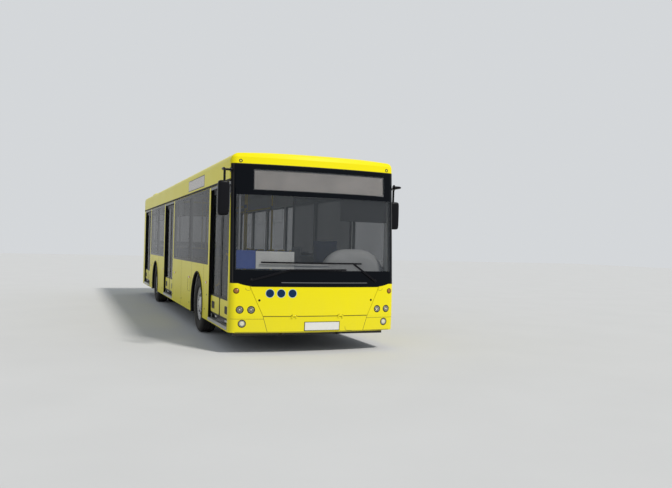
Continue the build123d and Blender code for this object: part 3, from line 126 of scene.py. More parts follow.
class Finish:
    """One surface finish: a material with its node tree and a Principled shader."""

    def __init__(self, name, colour, rough=0.5, **constants):
        self.material = bpy.data.materials.new(name)
        self.material.use_nodes = True
        self.tree = self.material.node_tree
        self.tree.nodes.clear()
        self.shader = self.tree.nodes.new("ShaderNodeBsdfPrincipled")
        output = self.tree.nodes.new("ShaderNodeOutputMaterial")
        self.tree.links.new(self.shader.outputs[0], output.inputs["Surface"])
        self.set("Base Color", (*colour, 1.0))
        self.set("Roughness", rough)
        for socket, value in constants.items():
            self.set(socket.replace("_", " "), value)

    def fill(self, target, value):
        """Links a value to a socket, or writes a plain number or colour on it."""
        if isinstance(value, Value):
            self.tree.links.new(value.socket, target)
        else:
            target.default_value = value

    def set(self, socket, value):
        self.fill(self.shader.inputs[socket], value)

    def node(self, kind, settings=None, inputs=None, output=0):
        made = self.tree.nodes.new(kind)
        for name, value in (settings or {}).items():
            setattr(made, name, value)
        for name, value in (inputs or {}).items():
            self.fill(made.inputs[name], value)
        return Value(self, made.outputs[output])

    def place(self):
        """The point's x, y and z in the bus's frame, in metres."""
        spot = self.node("ShaderNodeTexCoord", output="Object")
        return [self.node("ShaderNodeSeparateXYZ", {}, {0: spot}, output=axis) for axis in range(3)]

    def noise(self, scale, detail=3.0, stretch=(1, 1, 1)):
        """Soft noise from 0 to 1 with that many blobs a metre, drawn out along an axis by its stretch."""
        spot = self.node("ShaderNodeTexCoord", output="Object")
        spot = self.node("ShaderNodeMapping", {}, {"Vector": spot, "Scale": stretch})
        return self.node("ShaderNodeTexNoise", {}, {"Vector": spot, "Scale": scale, "Detail": detail})

    def mix(self, share, first, second):
        """Colour mix: the first where the share is 0, the second where it is 1."""
        first = first if isinstance(first, Value) else (*first, 1.0)
        second = second if isinstance(second, Value) else (*second, 1.0)
        inputs = {0: share, 6: first, 7: second}
        return self.node("ShaderNodeMix", {"data_type": "RGBA"}, inputs, output=2)

    def tone(self, share, first, second):
        """The surface's colour goes from the first to the second by a share."""
        self.set("Base Color", self.mix(share, first, second))

    def rough(self, share, least, spread):
        """The surface's roughness goes up from its least by a share of its spread."""
        self.set("Roughness", least + share * spread)

    def bump(self, height, strength, distance):
        inputs = {"Height": height, "Strength": strength, "Distance": distance}
        self.set("Normal", self.node("ShaderNodeBump", {}, inputs))

    def grain(self, scale, detail, strength, distance):
        """A fine grain all over the surface, with that many grains a metre."""
        self.bump(self.noise(scale, detail), strength, distance)


def mesh_piece(name, verts, faces, finish, smooth=None):
    """A mesh object from points and faces; smooth is the angle under which edges are shaded soft."""
    mesh = bpy.data.meshes.new(name)
    mesh.from_pydata([tuple(v) for v in verts], [], faces)
    work = bmesh.new()
    work.from_mesh(mesh)
    bmesh.ops.recalc_face_normals(work, faces=work.faces)
    work.to_mesh(mesh)
    work.free()
    mesh.materials.append(finish.material)
    piece = bpy.data.objects.new(name, mesh)
    bpy.context.scene.collection.objects.link(piece)
    if smooth is not None:
        mesh.shade_smooth()
        mesh.set_sharp_from_angle(angle=math.radians(smooth))
    return piece


floor_paint = Finish("floor_pale", FLOOR_PALE, 0.9)
floor_paint.tone(floor_paint.noise(0.8, 4.0), FLOOR_PALE, FLOOR_PALER)
corners = [(sx * FLOOR_HALF, sy * FLOOR_HALF, 0) for sx, sy in ((-1, -1), (1, -1), (1, 1), (-1, 1))]
mesh_piece("studio_floor", corners, [(0, 1, 2, 3)], floor_paint)

world = bpy.data.worlds.new("studio")
bpy.context.scene.world = world
world.use_nodes = True
sky_tree = world.node_tree
sky_tree.nodes.clear()
paths = sky_tree.nodes.new("ShaderNodeLightPath")
seen = paths.outputs["Is Camera Ray"]
for ray in ("Is Transmission Ray", "Is Glossy Ray"):
    either = sky_tree.nodes.new("ShaderNodeMath")
    either.operation = "MAXIMUM"
    sky_tree.links.new(seen, either.inputs[0])
    sky_tree.links.new(paths.outputs[ray], either.inputs[1])
    seen = either.outputs[0]
choice = sky_tree.nodes.new("ShaderNodeMixShader")
sky_tree.links.new(seen, choice.inputs[0])
for place, (colour, strength) in enumerate((SKY, BACKDROP), 1):
    glow = sky_tree.nodes.new("ShaderNodeBackground")
    glow.inputs["Color"].default_value = colour
    glow.inputs["Strength"].default_value = strength
    sky_tree.links.new(glow.outputs[0], choice.inputs[place])
world_out = sky_tree.nodes.new("ShaderNodeOutputWorld")
sky_tree.links.new(choice.outputs[0], world_out.inputs["Surface"])
sun = bpy.data.lights.new("key", "SUN")
sun.energy, sun.angle, sun.color = SUN_POWER, SUN_WIDTH, SUN_COLOUR
key = bpy.data.objects.new("key", sun)
key.rotation_euler = (SUN_TILT, 0, SUN_TURN)
bpy.context.scene.collection.objects.link(key)


# Paint: the body's steel and moulded panels are sprayed lemon yellow under a clear coat.
# It has a faint orange peel, fine dust low on the skirts and slightly duller, sun-bleached patches.
YELLOW, YELLOW_FADED, SKIRT_DUST = (0.82, 0.72, 0.003), (0.79, 0.68, 0.008), (0.42, 0.38, 0.20)
LINING_GREY, LINING_PALE, BLACK_MASK_AND_SHADE = (0.58, 0.58, 0.565), (0.64, 0.64, 0.62), (0.006, 0.006, 0.007)
# The inner faces: half width, end, top, the bows of roof and front, and how both ends lean inward
LINING_X, LINING_END, LINING_TOP, ROOF_BOW, FRONT_BOW = 1.200, 5.970, 2.808, 40.2, 12.8
LEAN_FROM, FRONT_LEAN, REAR_LEAN, CROWN_FROM, CROWN_LEAN = 0.945, 0.0645, 0.0264, 2.700, 1.4
REAR_CORNER_FROM, REAR_CORNER = 5.000, 2.130
# The edges of the side openings, and the black mask beside the windscreen
JAMB_X, JAMB_TOP, JAMB_ENDS = 1.2488, 2.4225, (-5.7395, 5.7895)
MASK_X, MASK_Y, MASK_Z, MASK_SOFT = 1.100, -5.825, (0.985, 2.655), 0.003


def dress(finish, *names):
    """Gives CAD nodes a finish in place of their plain one."""
    for name in names:
        nodes[name].data.materials.clear()
        nodes[name].data.materials.append(finish.material)


paint = Finish("yellow_paint", YELLOW, 0.3, Coat_Weight=0.04, Coat_Roughness=0.05, Specular_IOR_Level=0.10)
x, y, z = paint.place()
faded = paint.noise(1.3, 4.0)
dusty = z.under(0.70, 0.8) * (paint.noise(9.0, 5.0, (1, 1, 0.25)) * 0.7 + 0.15)
coat = paint.mix(faded, YELLOW, YELLOW_FADED)
coat = paint.mix(dusty * 0.17, coat, SKIRT_DUST)
# Inside the shell the panels are lined in pale grey, and their edges in the openings are black; this black is
# partly painted shade in the doorways and wheel arches.
lean = (z - LEAN_FROM).most(0.0)
rounding = (z - CROWN_FROM).most(0.0) * CROWN_LEAN
lined = x.size().under(LINING_X) * z.under(LINING_TOP - x * x * (1 / ROOF_BOW))
lined = lined * y.over(x * x * (1 / FRONT_BOW) + lean * FRONT_LEAN + rounding - LINING_END)
lined = lined * y.under(LINING_END - lean * REAR_LEAN - rounding)
lined = lined * (x.size() + (y - REAR_CORNER_FROM).most(0.0)).under(REAR_CORNER)
# Opening edges: a black trim colour that also paints the shade inside the doorways and wheel arches.
edged_and_shaded = x.size().under(JAMB_X) * x.size().over(LINING_X) * z.under(JAMB_TOP)
edged_and_shaded = edged_and_shaded * y.over(JAMB_ENDS[0]) * y.under(JAMB_ENDS[1])
coat = paint.mix(lined, coat, paint.mix(paint.noise(25.0, 3.0), LINING_GREY, LINING_PALE))
# The front corners beside the windscreen are masked off and sprayed black.
masked = x.size().over(MASK_X) * y.under(lean * FRONT_LEAN + MASK_Y)
masked = masked * z.over(MASK_Z[0], MASK_SOFT) * z.under(MASK_Z[1], MASK_SOFT)
paint.tone(edged_and_shaded.most(masked), coat, BLACK_MASK_AND_SHADE)
paint.set("Roughness", 0.26 + faded * 0.06 + dusty * 0.3 + lined * 0.3)
paint.grain(130.0, 2.0, 0.03, 0.001)
dress(paint, "right_wall", "left_wall", "roof", "rear_wall", "front_mask", "engine_hatch",
      "front_panels", "front_flap", "roof_hatch_front", "roof_hatch_rear")


# Windscreen: one bonded sheet of curved laminated glass, clear with a faint green tint, under a thin grey-blue
# veil that paints the sky's reflection.
# A black printed border hides the glue line; it widens into the band above the flap,
# the side margins and the surround of the sign window.
CLEAR_HALF, CLEAR_Z, PRINT_SOFT = 1.178, (1.173, 2.220), 0.004
SIGN_WINDOW_X, SIGN_WINDOW_Z = (-0.940, 1.070), (2.288, 2.580)
PRINT_BLACK, SCREEN_TINT_AND_REFLECTION = (0.002, 0.003, 0.005), (0.080, 0.088, 0.096)
screen = Finish("screen_glass", SCREEN_TINT_AND_REFLECTION, 0.03, Specular_IOR_Level=0.09)
x, y, z = screen.place()
see_ahead = x.size().under(CLEAR_HALF, PRINT_SOFT)
see_ahead = see_ahead * z.over(CLEAR_Z[0], PRINT_SOFT) * z.under(CLEAR_Z[1], PRINT_SOFT)
see_sign = x.over(SIGN_WINDOW_X[0], PRINT_SOFT) * x.under(SIGN_WINDOW_X[1], PRINT_SOFT)
see_sign = see_sign * z.over(SIGN_WINDOW_Z[0], PRINT_SOFT) * z.under(SIGN_WINDOW_Z[1], PRINT_SOFT)
clear = see_ahead.most(see_sign)
# The clear glass is partly opaque: its grey-blue layer is painted reflection, made patchy by noise.
reflection_haze = screen.noise(3.0, 5.0)
screen.set("Alpha", 1 - clear * (0.80 - reflection_haze * 0.12))
screen.tone(clear, PRINT_BLACK, SCREEN_TINT_AND_REFLECTION)
screen.rough(reflection_haze, 0.02, 0.03)
dress(screen, "windscreen")


# Side and rear windows: tinted toughened panes bonded flush to the frame, each with a black
# printed border round its edge. The upper lights of some panes tilt, behind thin black bars.
SIDE_X, WAIST, HEAD, PANE_T, BORDER, EDGE_R, PANE_CORNER = 1.250, 1.181, 2.400, 0.010, 0.045, 0.060, 0.012
RIGHT_BAYS = ((-4.230, -2.334), (-2.326, -0.350), (1.270, 2.626), (2.634, 4.020))
LEFT_BAYS = ((-5.600, -4.272), (-4.264, -2.334), (-2.326, -0.316), (-0.308, 1.228),
             (1.236, 2.626), (2.634, 4.020))
REAR_HALF, REAR_Z, REAR_EDGE_R = 1.008, (1.500, 2.380), 0.090
# The rear wall stands upright to its waist and leans in by so much over the height above it
REAR_Y, REAR_WAIST, REAR_TILT, REAR_TALL = 6.000, 0.945, 0.045, 1.705


def rounded_loop(low, high, radius, steps=5):
    """Points round a rectangle between two corners (a, b), with quarter-round corners."""
    points = []
    for quarter, (side_a, side_b) in enumerate(((1, 1), (0, 1), (0, 0), (1, 0))):
        centre_a = (high[0] - radius) if side_a else (low[0] + radius)
        centre_b = (high[1] - radius) if side_b else (low[1] + radius)
        for step in range(steps + 1):
            angle = math.pi / 2 * (quarter + step / steps)
            points.append((centre_a + radius * math.cos(angle), centre_b + radius * math.sin(angle)))
    return points


def pane_piece(name, body, panes, ring_finish, light_finish, *replaced):
    """Panes with a border ring each: a function from (a, b, depth) to a point, both corners of the
    pane, the width of its border, the radius of the border's inner corners and the glass's thickness."""
    verts, faces, borders = [], [], []
    for to_point, low, high, border, radius, thick in panes:
        outer = rounded_loop(low, high, PANE_CORNER)
        inner = rounded_loop((low[0] + border, low[1] + border), (high[0] - border, high[1] - border), radius)
        count, start = len(outer), len(verts)
        for depth in (0.0, thick):
            for loop in (outer, inner):
                verts += [to_point(a, b, depth) for a, b in loop]
        face, light, back, back_light = (start + count * row for row in range(4))
        for i in range(count):
            j = (i + 1) % count
            borders += range(len(faces), len(faces) + 3)
            faces.append((face + i, face + j, light + j, light + i))
            faces.append((back + i, back_light + i, back_light + j, back + j))
            faces.append((face + i, back + i, back + j, face + j))
        faces.append([light + i for i in range(count)])
        faces.append([back_light + i for i in reversed(range(count))])
    piece = mesh_piece(name, verts, faces, light_finish)
    piece.data.materials.append(ring_finish.material)
    for index in borders:
        piece.data.polygons[index].material_index = 1
    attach(piece, body)
    if replaced:
        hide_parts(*replaced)


def right_side(a, b, depth):
    return (-SIDE_X + depth, a, b)


def left_side(a, b, depth):
    return (SIDE_X - depth, a, b)


def rear_side(a, b, depth):
    return (a, REAR_Y - REAR_TILT * (b - REAR_WAIST) / REAR_TALL - depth, b)


tint = Finish("tinted_glass", (0.010, 0.013, 0.014), 0.03, Specular_IOR_Level=0.07)
streak = tint.noise(2.0, 4.0, (1, 1, 0.3))
tint.set("Alpha", 0.46 + streak * 0.12)
tint.rough(streak, 0.02, 0.04)
frit = Finish("black_border", (0.004, 0.004, 0.005), 0.06, Specular_IOR_Level=0.02)
frit.rough(frit.noise(6.0), 0.05, 0.08)
side_panes = []
for surface, bays in ((right_side, RIGHT_BAYS), (left_side, LEFT_BAYS)):
    side_panes += [(surface, (start, WAIST), (end, HEAD), BORDER, EDGE_R, PANE_T) for start, end in bays]
rear_pane = (rear_side, (-REAR_HALF, REAR_Z[0]), (REAR_HALF, REAR_Z[1]), BORDER, REAR_EDGE_R, PANE_T)
pane_piece("window_panes", "body", [*side_panes, rear_pane], frit, tint, "body_windows")


# Door leaves: black-coated aluminium frames with a glued pane, a yellow kick panel with a dark
# vent, rubber along their edges and a yellow grab rail inside. Each hangs on two steel arms
# from an upright post beside the doorway.
DOOR_STARTS = {"front": -5.740, "middle": -0.240, "rear": 4.130}
DOOR_W, EDGE_GAP, MEET_GAP = 1.400, 0.010, 0.007
LEAF_X, LEAF_T, LEAF_LOW, LEAF_HIGH = -1.190, 0.040, 0.430, 2.350
LEAF_W = DOOR_W / 2 - EDGE_GAP - MEET_GAP
STILE, GLASS_LOW, GLASS_HIGH = 0.055, 0.735, 2.280
LEAF_BORDER, LEAF_EDGE_R, GLASS_SET, GLASS_T = 0.020, 0.045, 0.005, 0.006
KICK_LOW, KICK_HIGH, KICK_INSET, KICK_ROUND, KICK_T = 0.462, 0.712, 0.034, 0.030, 0.004
VENT_A, VENT_Z, VENT_ROUND, VENT_T = (0.110, 0.320), (0.520, 0.630), 0.025, 0.003
SLATS, SLAT_PITCH, SLAT_H, SLAT_T, SLAT_ROUND = 4, 0.023, 0.010, 0.004, 0.004
SLAT_FROM_SIDE, SLAT_FROM_FOOT = 0.020, 0.016
SEAL_EDGES, SEAL_SET, SEAL_T, SEAL_SHORT = ((LEAF_W, LEAF_W + 0.002), (-0.004, 0.0)), 0.005, 0.030, 0.010
# The grab rail's corners: along the leaf, height, and how far off the leaf's inner face
RAIL_LINE = ((0.16, 0.86, 0.0), (0.16, 0.90, 0.055), (0.52, 1.34, 0.055), (0.52, 1.38, 0.0))
RAIL_R, RAIL_BEND = 0.015, 0.035


def skin(rings, closed=False):
    """Points and faces over rings of as many points each; its ends are capped unless it closes on itself."""
    count = len(rings[0])
    verts = [point for ring in rings for point in ring]
    faces = []
    for row in range(len(rings) if closed else len(rings) - 1):
        start, after = row * count, (row + 1) % len(rings) * count
        for i in range(count):
            j = (i + 1) % count
            faces.append((start + i, start + j, after + j, after + i))
    if not closed:
        faces.append(list(reversed(range(count))))
        faces.append([len(verts) - count + i for i in range(count)])
    return verts, faces


def gather(parts):
    """Joins several (points, faces) into one pair."""
    verts, faces = [], []
    for more_verts, more_faces in parts:
        start = len(verts)
        verts += list(more_verts)
        faces += [[start + i for i in face] for face in more_faces]
    return verts, faces


def fit(name, parts, finish, body="body", smooth=None, replaced=()):
    """One piece of several (points, faces): it rides on a body, takes a slot and stands for nodes."""
    piece = mesh_piece(name, *gather(parts), finish, smooth)
    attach(piece, body)
    if replaced:
        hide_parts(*replaced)
    return piece


def solid_plate(to_point, loop, thick):
    """Points and faces of a flat plate whose outline is a loop of (a, b)."""
    return skin([[to_point(a, b, depth) for a, b in loop] for depth in (0.0, thick)])


def box_loop(low, high):
    """The corners of a rectangle between two of them."""
    return [low, (high[0], low[1]), high, (low[0], high[1])]


def raised(surface, rise):
    """The same surface, moved along its depth."""
    return lambda a, b, depth: surface(a, b, depth + rise)


def circle(count, radius=1.0, first=0.0):
    """Points round a circle, the first of them turned on by a share of a step."""
    turns = [math.tau * (step + first) / count for step in range(count)]
    return [(radius * math.cos(turn), radius * math.sin(turn)) for turn in turns]


def tube(points, radius, sectors=12, closed=False):
    """Points and faces of a round tube along a line of points."""
    points = [Vector(p) for p in points]
    count = len(points)
    rings = []
    side = None
    for i, point in enumerate(points):
        before = points[(i - 1) % count] if (closed or i) else point
        after = points[(i + 1) % count] if (closed or i < count - 1) else point
        along = (after - before).normalized()
        if side is None:
            side = along.orthogonal().normalized()
        side = (side - along * side.dot(along)).normalized()
        other = along.cross(side)
        rings.append([point + (side * c + other * s) * radius for c, s in circle(sectors)])
    return skin(rings, closed)


def bent(points, radius, steps=5):
    """A line of points with its corners rounded."""
    points = [Vector(p) for p in points]
    line = [points[0]]
    for before, corner, after in zip(points, points[1:], points[2:]):
        back = (before - corner).normalized() * radius
        on = (after - corner).normalized() * radius
        for step in range(steps + 1):
            t = step / steps
            line.append(corner + back * (1 - t) ** 2 + on * t ** 2)
    return line + [points[-1]]


door_black = Finish("door_frame_black", (0.007, 0.007, 0.008), 0.28, Specular_IOR_Level=0.05)
door_black.rough(door_black.noise(14.0, 5.0), 0.22, 0.16)
door_black.grain(400.0, 2.0, 0.05, 0.0005)
rubber = Finish("black_rubber", (0.018, 0.018, 0.018), 0.72, Specular_IOR_Level=0.2)
grime = rubber.noise(20.0, 4.0)
rubber.tone(grime, (0.014, 0.014, 0.014), (0.035, 0.033, 0.030))
rubber.rough(grime, 0.62, 0.2)
steel = Finish("brushed_steel", (0.42, 0.42, 0.43), 0.35, Metallic=1.0)
steel.rough(steel.noise(60.0, 4.0, (1, 1, 0.05)), 0.26, 0.22)
kick_paint = Finish("kick_panel_paint", YELLOW, 0.34, Specular_IOR_Level=0.2)
kicked = kick_paint.noise(18.0, 6.0) * kick_paint.place()[2].under(0.56, 0.25)
kick_paint.tone(kicked * 0.5, (0.80, 0.70, 0.01), (0.40, 0.36, 0.20))
kick_paint.rough(kicked, 0.30, 0.3)
grab_yellow = Finish("grab_rail_yellow", (0.80, 0.56, 0.02), 0.32, Coat_Weight=0.3)
grab_yellow.rough(grab_yellow.noise(40.0, 3.0), 0.26, 0.16)
grab_yellow.grain(900.0, 2.0, 0.08, 0.0003)

for door, start in DOOR_STARTS.items():
    for leaf, jamb, along in (("fore", start, 1), ("aft", start + DOOR_W, -1)):
        body = f"door_{door}_{leaf}"

        def on_leaf(a, b, depth, edge=jamb + along * EDGE_GAP, along=along):
            return (LEAF_X - LEAF_T / 2 + depth, edge + along * a, b)

        dress(door_black, f"{body}_leaf")
        dress(steel, f"{body}_post")
        glass_low, glass_high = (STILE, GLASS_LOW), (LEAF_W - STILE, GLASS_HIGH)
        pane = (raised(on_leaf, GLASS_SET), glass_low, glass_high, LEAF_BORDER, LEAF_EDGE_R, GLASS_T)
        pane_piece(f"{body}_pane", body, [pane], frit, tint, f"{body}_glass")
        kick = rounded_loop((KICK_INSET, KICK_LOW), (LEAF_W - KICK_INSET, KICK_HIGH), KICK_ROUND)
        fit(f"{body}_kick_panel", [solid_plate(on_leaf, kick, -KICK_T)], kick_paint, body)
        loop = rounded_loop((VENT_A[0], VENT_Z[0]), (VENT_A[1], VENT_Z[1]), VENT_ROUND)
        vent = [solid_plate(raised(on_leaf, -KICK_T), loop, -VENT_T)]
        for row in range(SLATS):
            foot = VENT_Z[0] + SLAT_FROM_FOOT + row * SLAT_PITCH
            ends = VENT_A[0] + SLAT_FROM_SIDE, VENT_A[1] - SLAT_FROM_SIDE
            slat = rounded_loop((ends[0], foot), (ends[1], foot + SLAT_H), SLAT_ROUND, 2)
            vent.append(solid_plate(raised(on_leaf, -KICK_T - VENT_T), slat, -SLAT_T))
        fit(f"{body}_vent", vent, door_black, body)
        seals = []
        for near, far in SEAL_EDGES:
            strip = box_loop((near, LEAF_LOW + SEAL_SHORT), (far, LEAF_HIGH - SEAL_SHORT))
            seals.append(solid_plate(raised(on_leaf, SEAL_SET), strip, SEAL_T))
        fit(f"{body}_seals", seals, rubber, body)
        rail = tube(bent([on_leaf(a, b, LEAF_T + off) for a, b, off in RAIL_LINE], RAIL_BEND), RAIL_R)
        fit(f"{body}_grab_rail", [rail], grab_yellow, body, 60)


# Tyres: radial road tyres with four round grooves, worn shoulders and ribbed sidewalls.
# The front ones are single, the rear ones are pairs on one hub.
SIDES = (("left", 1), ("right", -1))
FRONT_AXLE, REAR_AXLE, HUB_Z, OUTER_X, TWIN_X = -3.280, 2.860, 0.479, 1.0845, 0.7735
TYRE_R, TREAD_BOW, GROOVES, GROOVE_W, GROOVE_D = 0.479, 0.30, (-0.081, -0.028, 0.028, 0.081), 0.009, 0.012
# The sidewall from the bead to the shoulder: offset from the tyre's middle, and radius
SIDEWALL = ((-0.110, 0.287), (-0.124, 0.300), (-0.1305, 0.318), (-0.1280, 0.324), (-0.134, 0.345),
            (-0.1372, 0.378), (-0.1350, 0.402), (-0.1372, 0.406), (-0.1330, 0.428), (-0.1240, 0.452),
            (-0.1160, 0.463), (-0.1060, 0.4705))


def turned(profile, centre, sectors=72):
    """Points and faces of a closed profile of (x offset, radius) turned about a wheel's axis."""
    rings = []
    for c, s in circle(sectors):
        rings.append([(centre[0] + off, centre[1] + r * c, centre[2] + r * s) for off, r in profile])
    return skin(rings, closed=True)


tyre_rubber = Finish("tyre_rubber", (0.022, 0.022, 0.022), 0.8, Specular_IOR_Level=0.25)
scuff = tyre_rubber.noise(11.0, 5.0)
tyre_rubber.tone(scuff, (0.016, 0.016, 0.016), (0.055, 0.050, 0.044))
tyre_rubber.rough(scuff, 0.72, 0.16)
tyre_rubber.grain(55.0, 4.0, 0.25, 0.002)
section = list(SIDEWALL)
for place in GROOVES:
    crown = TYRE_R - TREAD_BOW * place ** 2
    for share, depth in ((-1 / 2, 0.0), (-1 / 3, GROOVE_D), (1 / 3, GROOVE_D), (1 / 2, 0.0)):
        section.append((place + GROOVE_W * share, crown - depth))
section += [(-offset, radius) for offset, radius in reversed(SIDEWALL)]
for side, sign in SIDES:
    front = turned(section, (sign * OUTER_X, FRONT_AXLE, HUB_Z))
    fit(f"tyre_front_{side}_road", [front], tyre_rubber, f"wheel_front_{side}", 35,
        [f"tyre_front_{side}"])
    twins = [turned(section, (sign * place, REAR_AXLE, HUB_Z)) for place in (OUTER_X, TWIN_X)]
    fit(f"tyres_rear_{side}_road", twins, tyre_rubber, f"wheels_rear_{side}", 35,
        [f"tyres_rear_{side}"])


# Wheels: pressed steel rims sprayed silver, with ten nuts on their studs and a domed hub cover.
# The front rims are dished outward, the rear ones inward, so the nuts sit deeper there.
NUT_CIRCLE, NUT_COUNT = 0.1675, 10
# Washer, hexagon and stud: radius, number of sides, and reach from the rim's face
NUT_STEPS = ((0.02295, 24, 0.0, 0.004), (0.017, 6, 0.004, 0.019), (0.010, 12, 0.019, 0.027))
# Hub cover: shares of its radius and of its height, from the foot to the middle
COVER_RINGS = ((1.0, 0.0), (1.0, 0.25), (0.9, 0.55), (0.62, 0.85), (0.3, 0.97), (0.02, 1.0))
# End, body, axle, the rim's face, the hub's face, and the cover's radius and height
WHEEL_ENDS = (("front", "wheel_front", FRONT_AXLE, 1.164, 1.178, 0.095, 0.026),
              ("rear", "wheels_rear", REAR_AXLE, 1.004, 1.060, 0.115, 0.070))
rim_paint = Finish("rim_silver", (0.62, 0.63, 0.64), 0.36, Metallic=0.15)
brake_dust = rim_paint.noise(16.0, 5.0)
rim_paint.tone(brake_dust, (0.80, 0.80, 0.79), (0.46, 0.44, 0.41))
rim_paint.rough(brake_dust, 0.30, 0.25)
nut_steel = Finish("nut_steel", (0.30, 0.30, 0.31), 0.4, Metallic=1.0)
nut_steel.rough(nut_steel.noise(50.0), 0.30, 0.3)
for side, sign in SIDES:
    for end, body, axle, face_x, hub_x, cover_r, cover_h in WHEEL_ENDS:
        dress(rim_paint, f"rim_{end}_{side}")
        nuts = []
        for nut_y, nut_z in circle(NUT_COUNT, NUT_CIRCLE, 0.5):
            for radius, sides, near, far in NUT_STEPS:
                nuts.append(skin([[(sign * (face_x + reach), axle + nut_y + a, HUB_Z + nut_z + b)
                                   for a, b in circle(sides, radius)] for reach in (near, far)]))
        fit(f"wheel_nuts_{end}_{side}", nuts, nut_steel, f"{body}_{side}", 30)
        profile = [(sign * rise * cover_h, cover_r * share) for share, rise in COVER_RINGS]
        cover = turned(profile, (sign * hub_x, axle, HUB_Z), 48)
        fit(f"hub_cover_{end}_{side}", [cover], rim_paint, f"{body}_{side}", 40)


# Front lamps: chromed bowls with a bulb each, under clear domed lenses in thin black bezels.
# The upper outer pair are amber turn lamps; the lowest pair are fog lamps with fluted lenses.
FRONT_LAMPS = (("turn", 1.162, 0.881, 0.034), ("low", 1.110, 0.620, 0.048), ("high", 0.955, 0.620, 0.048),
               ("fog", 1.075, 0.427, 0.050))
LENS_GAP, LENS_RISE, TURN_GAP, TURN_RISE, TURN_BACK = 0.003, 0.006, 0.002, 0.007, -0.020
BEZEL_W, BEZEL_PROUD, BOWL_D, BOWL_T, BOWL_MID = 0.009, 0.003, 0.038, 0.001, 0.005
BOWL_SHARES = (0.10, 0.35, 0.6, 0.8, 0.93, 1.0)
# Bulbs: radius, height and the depth of their back; a side bulb sits up and inward of the main one
BULB, FOG_BULB, SIDE_BULB = (0.009, 0.004, -0.036), (0.030, 0.004, -0.036), (0.005, 0.002, -0.030)
SIDE_BULB_IN, SIDE_BULB_UP = 0.022, 0.020
# The front wall that carries them: how it leans at each height, its bow, and its rounded corners
FRONT_Y, BOW_R, JOIN_X = -6.0, 6.4, 1.15994
FRONT_LEVELS = ((0.290, 0.012), (0.526, 0.0), (0.945, 0.0), (2.650, 0.110), (2.748, 0.124),
                (2.796, 0.150), (2.825, 0.195), (2.842, 0.275))
FRONT_CORNER_R, FRONT_CORNER_X, FRONT_CORNER_BACK = 0.110, 1.140, 0.21417


def set_back(levels, height):
    """How far a wall leans back at a height, between its listed levels."""
    for (z0, lean0), (z1, lean1) in zip(levels, levels[1:]):
        if height <= z1:
            return lean0 + (lean1 - lean0) * (height - z0) / (z1 - z0)
    return levels[-1][1]


def on_front(across, height, out=0.0):
    """The point on the bus's front at a place across and a height, moved out from the skin."""
    sign, reach = (1 if across >= 0 else -1), abs(across)
    front = FRONT_Y + set_back(FRONT_LEVELS, height)
    if reach <= JOIN_X:
        lean_x, drop = reach / BOW_R, math.sqrt(BOW_R ** 2 - reach ** 2)
        spot, normal = (reach, front + BOW_R - drop), (lean_x, -drop / BOW_R)
    else:
        along = min(reach - FRONT_CORNER_X, FRONT_CORNER_R * 0.999)
        drop = math.sqrt(FRONT_CORNER_R ** 2 - along ** 2)
        spot = (reach, front + FRONT_CORNER_BACK - drop)
        normal = (along / FRONT_CORNER_R, -drop / FRONT_CORNER_R)
    return (sign * (spot[0] + normal[0] * out), spot[1] + normal[1] * out, height)


def round_on(surface, centre, rings, hollow=False, sectors=28):
    """Points and faces of a round part on a surface: rings of (radius, height over the skin)."""
    return skin([[surface(centre[0] + radius * c, centre[1] + radius * s, out) for c, s in circle(sectors)]
                 for radius, out in rings], hollow)


def dome(radius, height, back=-0.003):
    """Rings of a shallow domed cover, from its middle to its edge and round to its back."""
    rings = [(radius * s, height * (1 - s ** 2) ** 0.5) for s in (0.06, 0.35, 0.62, 0.84, 0.96, 1.0)]
    return rings + [(radius, back), (radius * 0.06, back)]


def bezel(radius, width, proud, foot=-0.004):
    """Rings of a rounded rim round an opening."""
    outer = radius + width
    return [(radius, foot), (radius, proud * 0.7), (radius + width * 0.35, proud),
            (outer - width * 0.2, proud * 0.7), (outer, 0.0), (outer, foot)]


chrome = Finish("chrome_bowl", (0.34, 0.31, 0.22), 0.08, Metallic=1.0)
chrome.rough(chrome.noise(40.0, 3.0), 0.05, 0.08)
clear_lens = Finish("clear_lens", (0.55, 0.56, 0.55), 0.03, Coat_Weight=0.3, Coat_Roughness=0.02)
x, y, z = clear_lens.place()
flutes = (x * 620.0).wave() * z.under(0.50, 0.01)
clear_lens.set("Alpha", 0.12 + flutes.size() * 0.22 + clear_lens.noise(9.0) * 0.05)
clear_lens.bump(flutes, 0.4, 0.001)
amber = Finish("amber_lens", (0.42, 0.17, 0.015), 0.14, Coat_Weight=0.3, Coat_Roughness=0.04)
ribs = (amber.place()[2] * 900.0).wave()
amber.tone(ribs.size(), (0.46, 0.19, 0.02), (0.26, 0.09, 0.008))
amber.bump(ribs, 0.5, 0.001)
bulb_glow = Finish("bulb_glass", (0.86, 0.84, 0.60), 0.05, Specular_IOR_Level=0.4)
bulb_glow.rough(bulb_glow.noise(70.0), 0.04, 0.06)
bowls, lenses, turns, bezels, bulbs = [], [], [], [], []
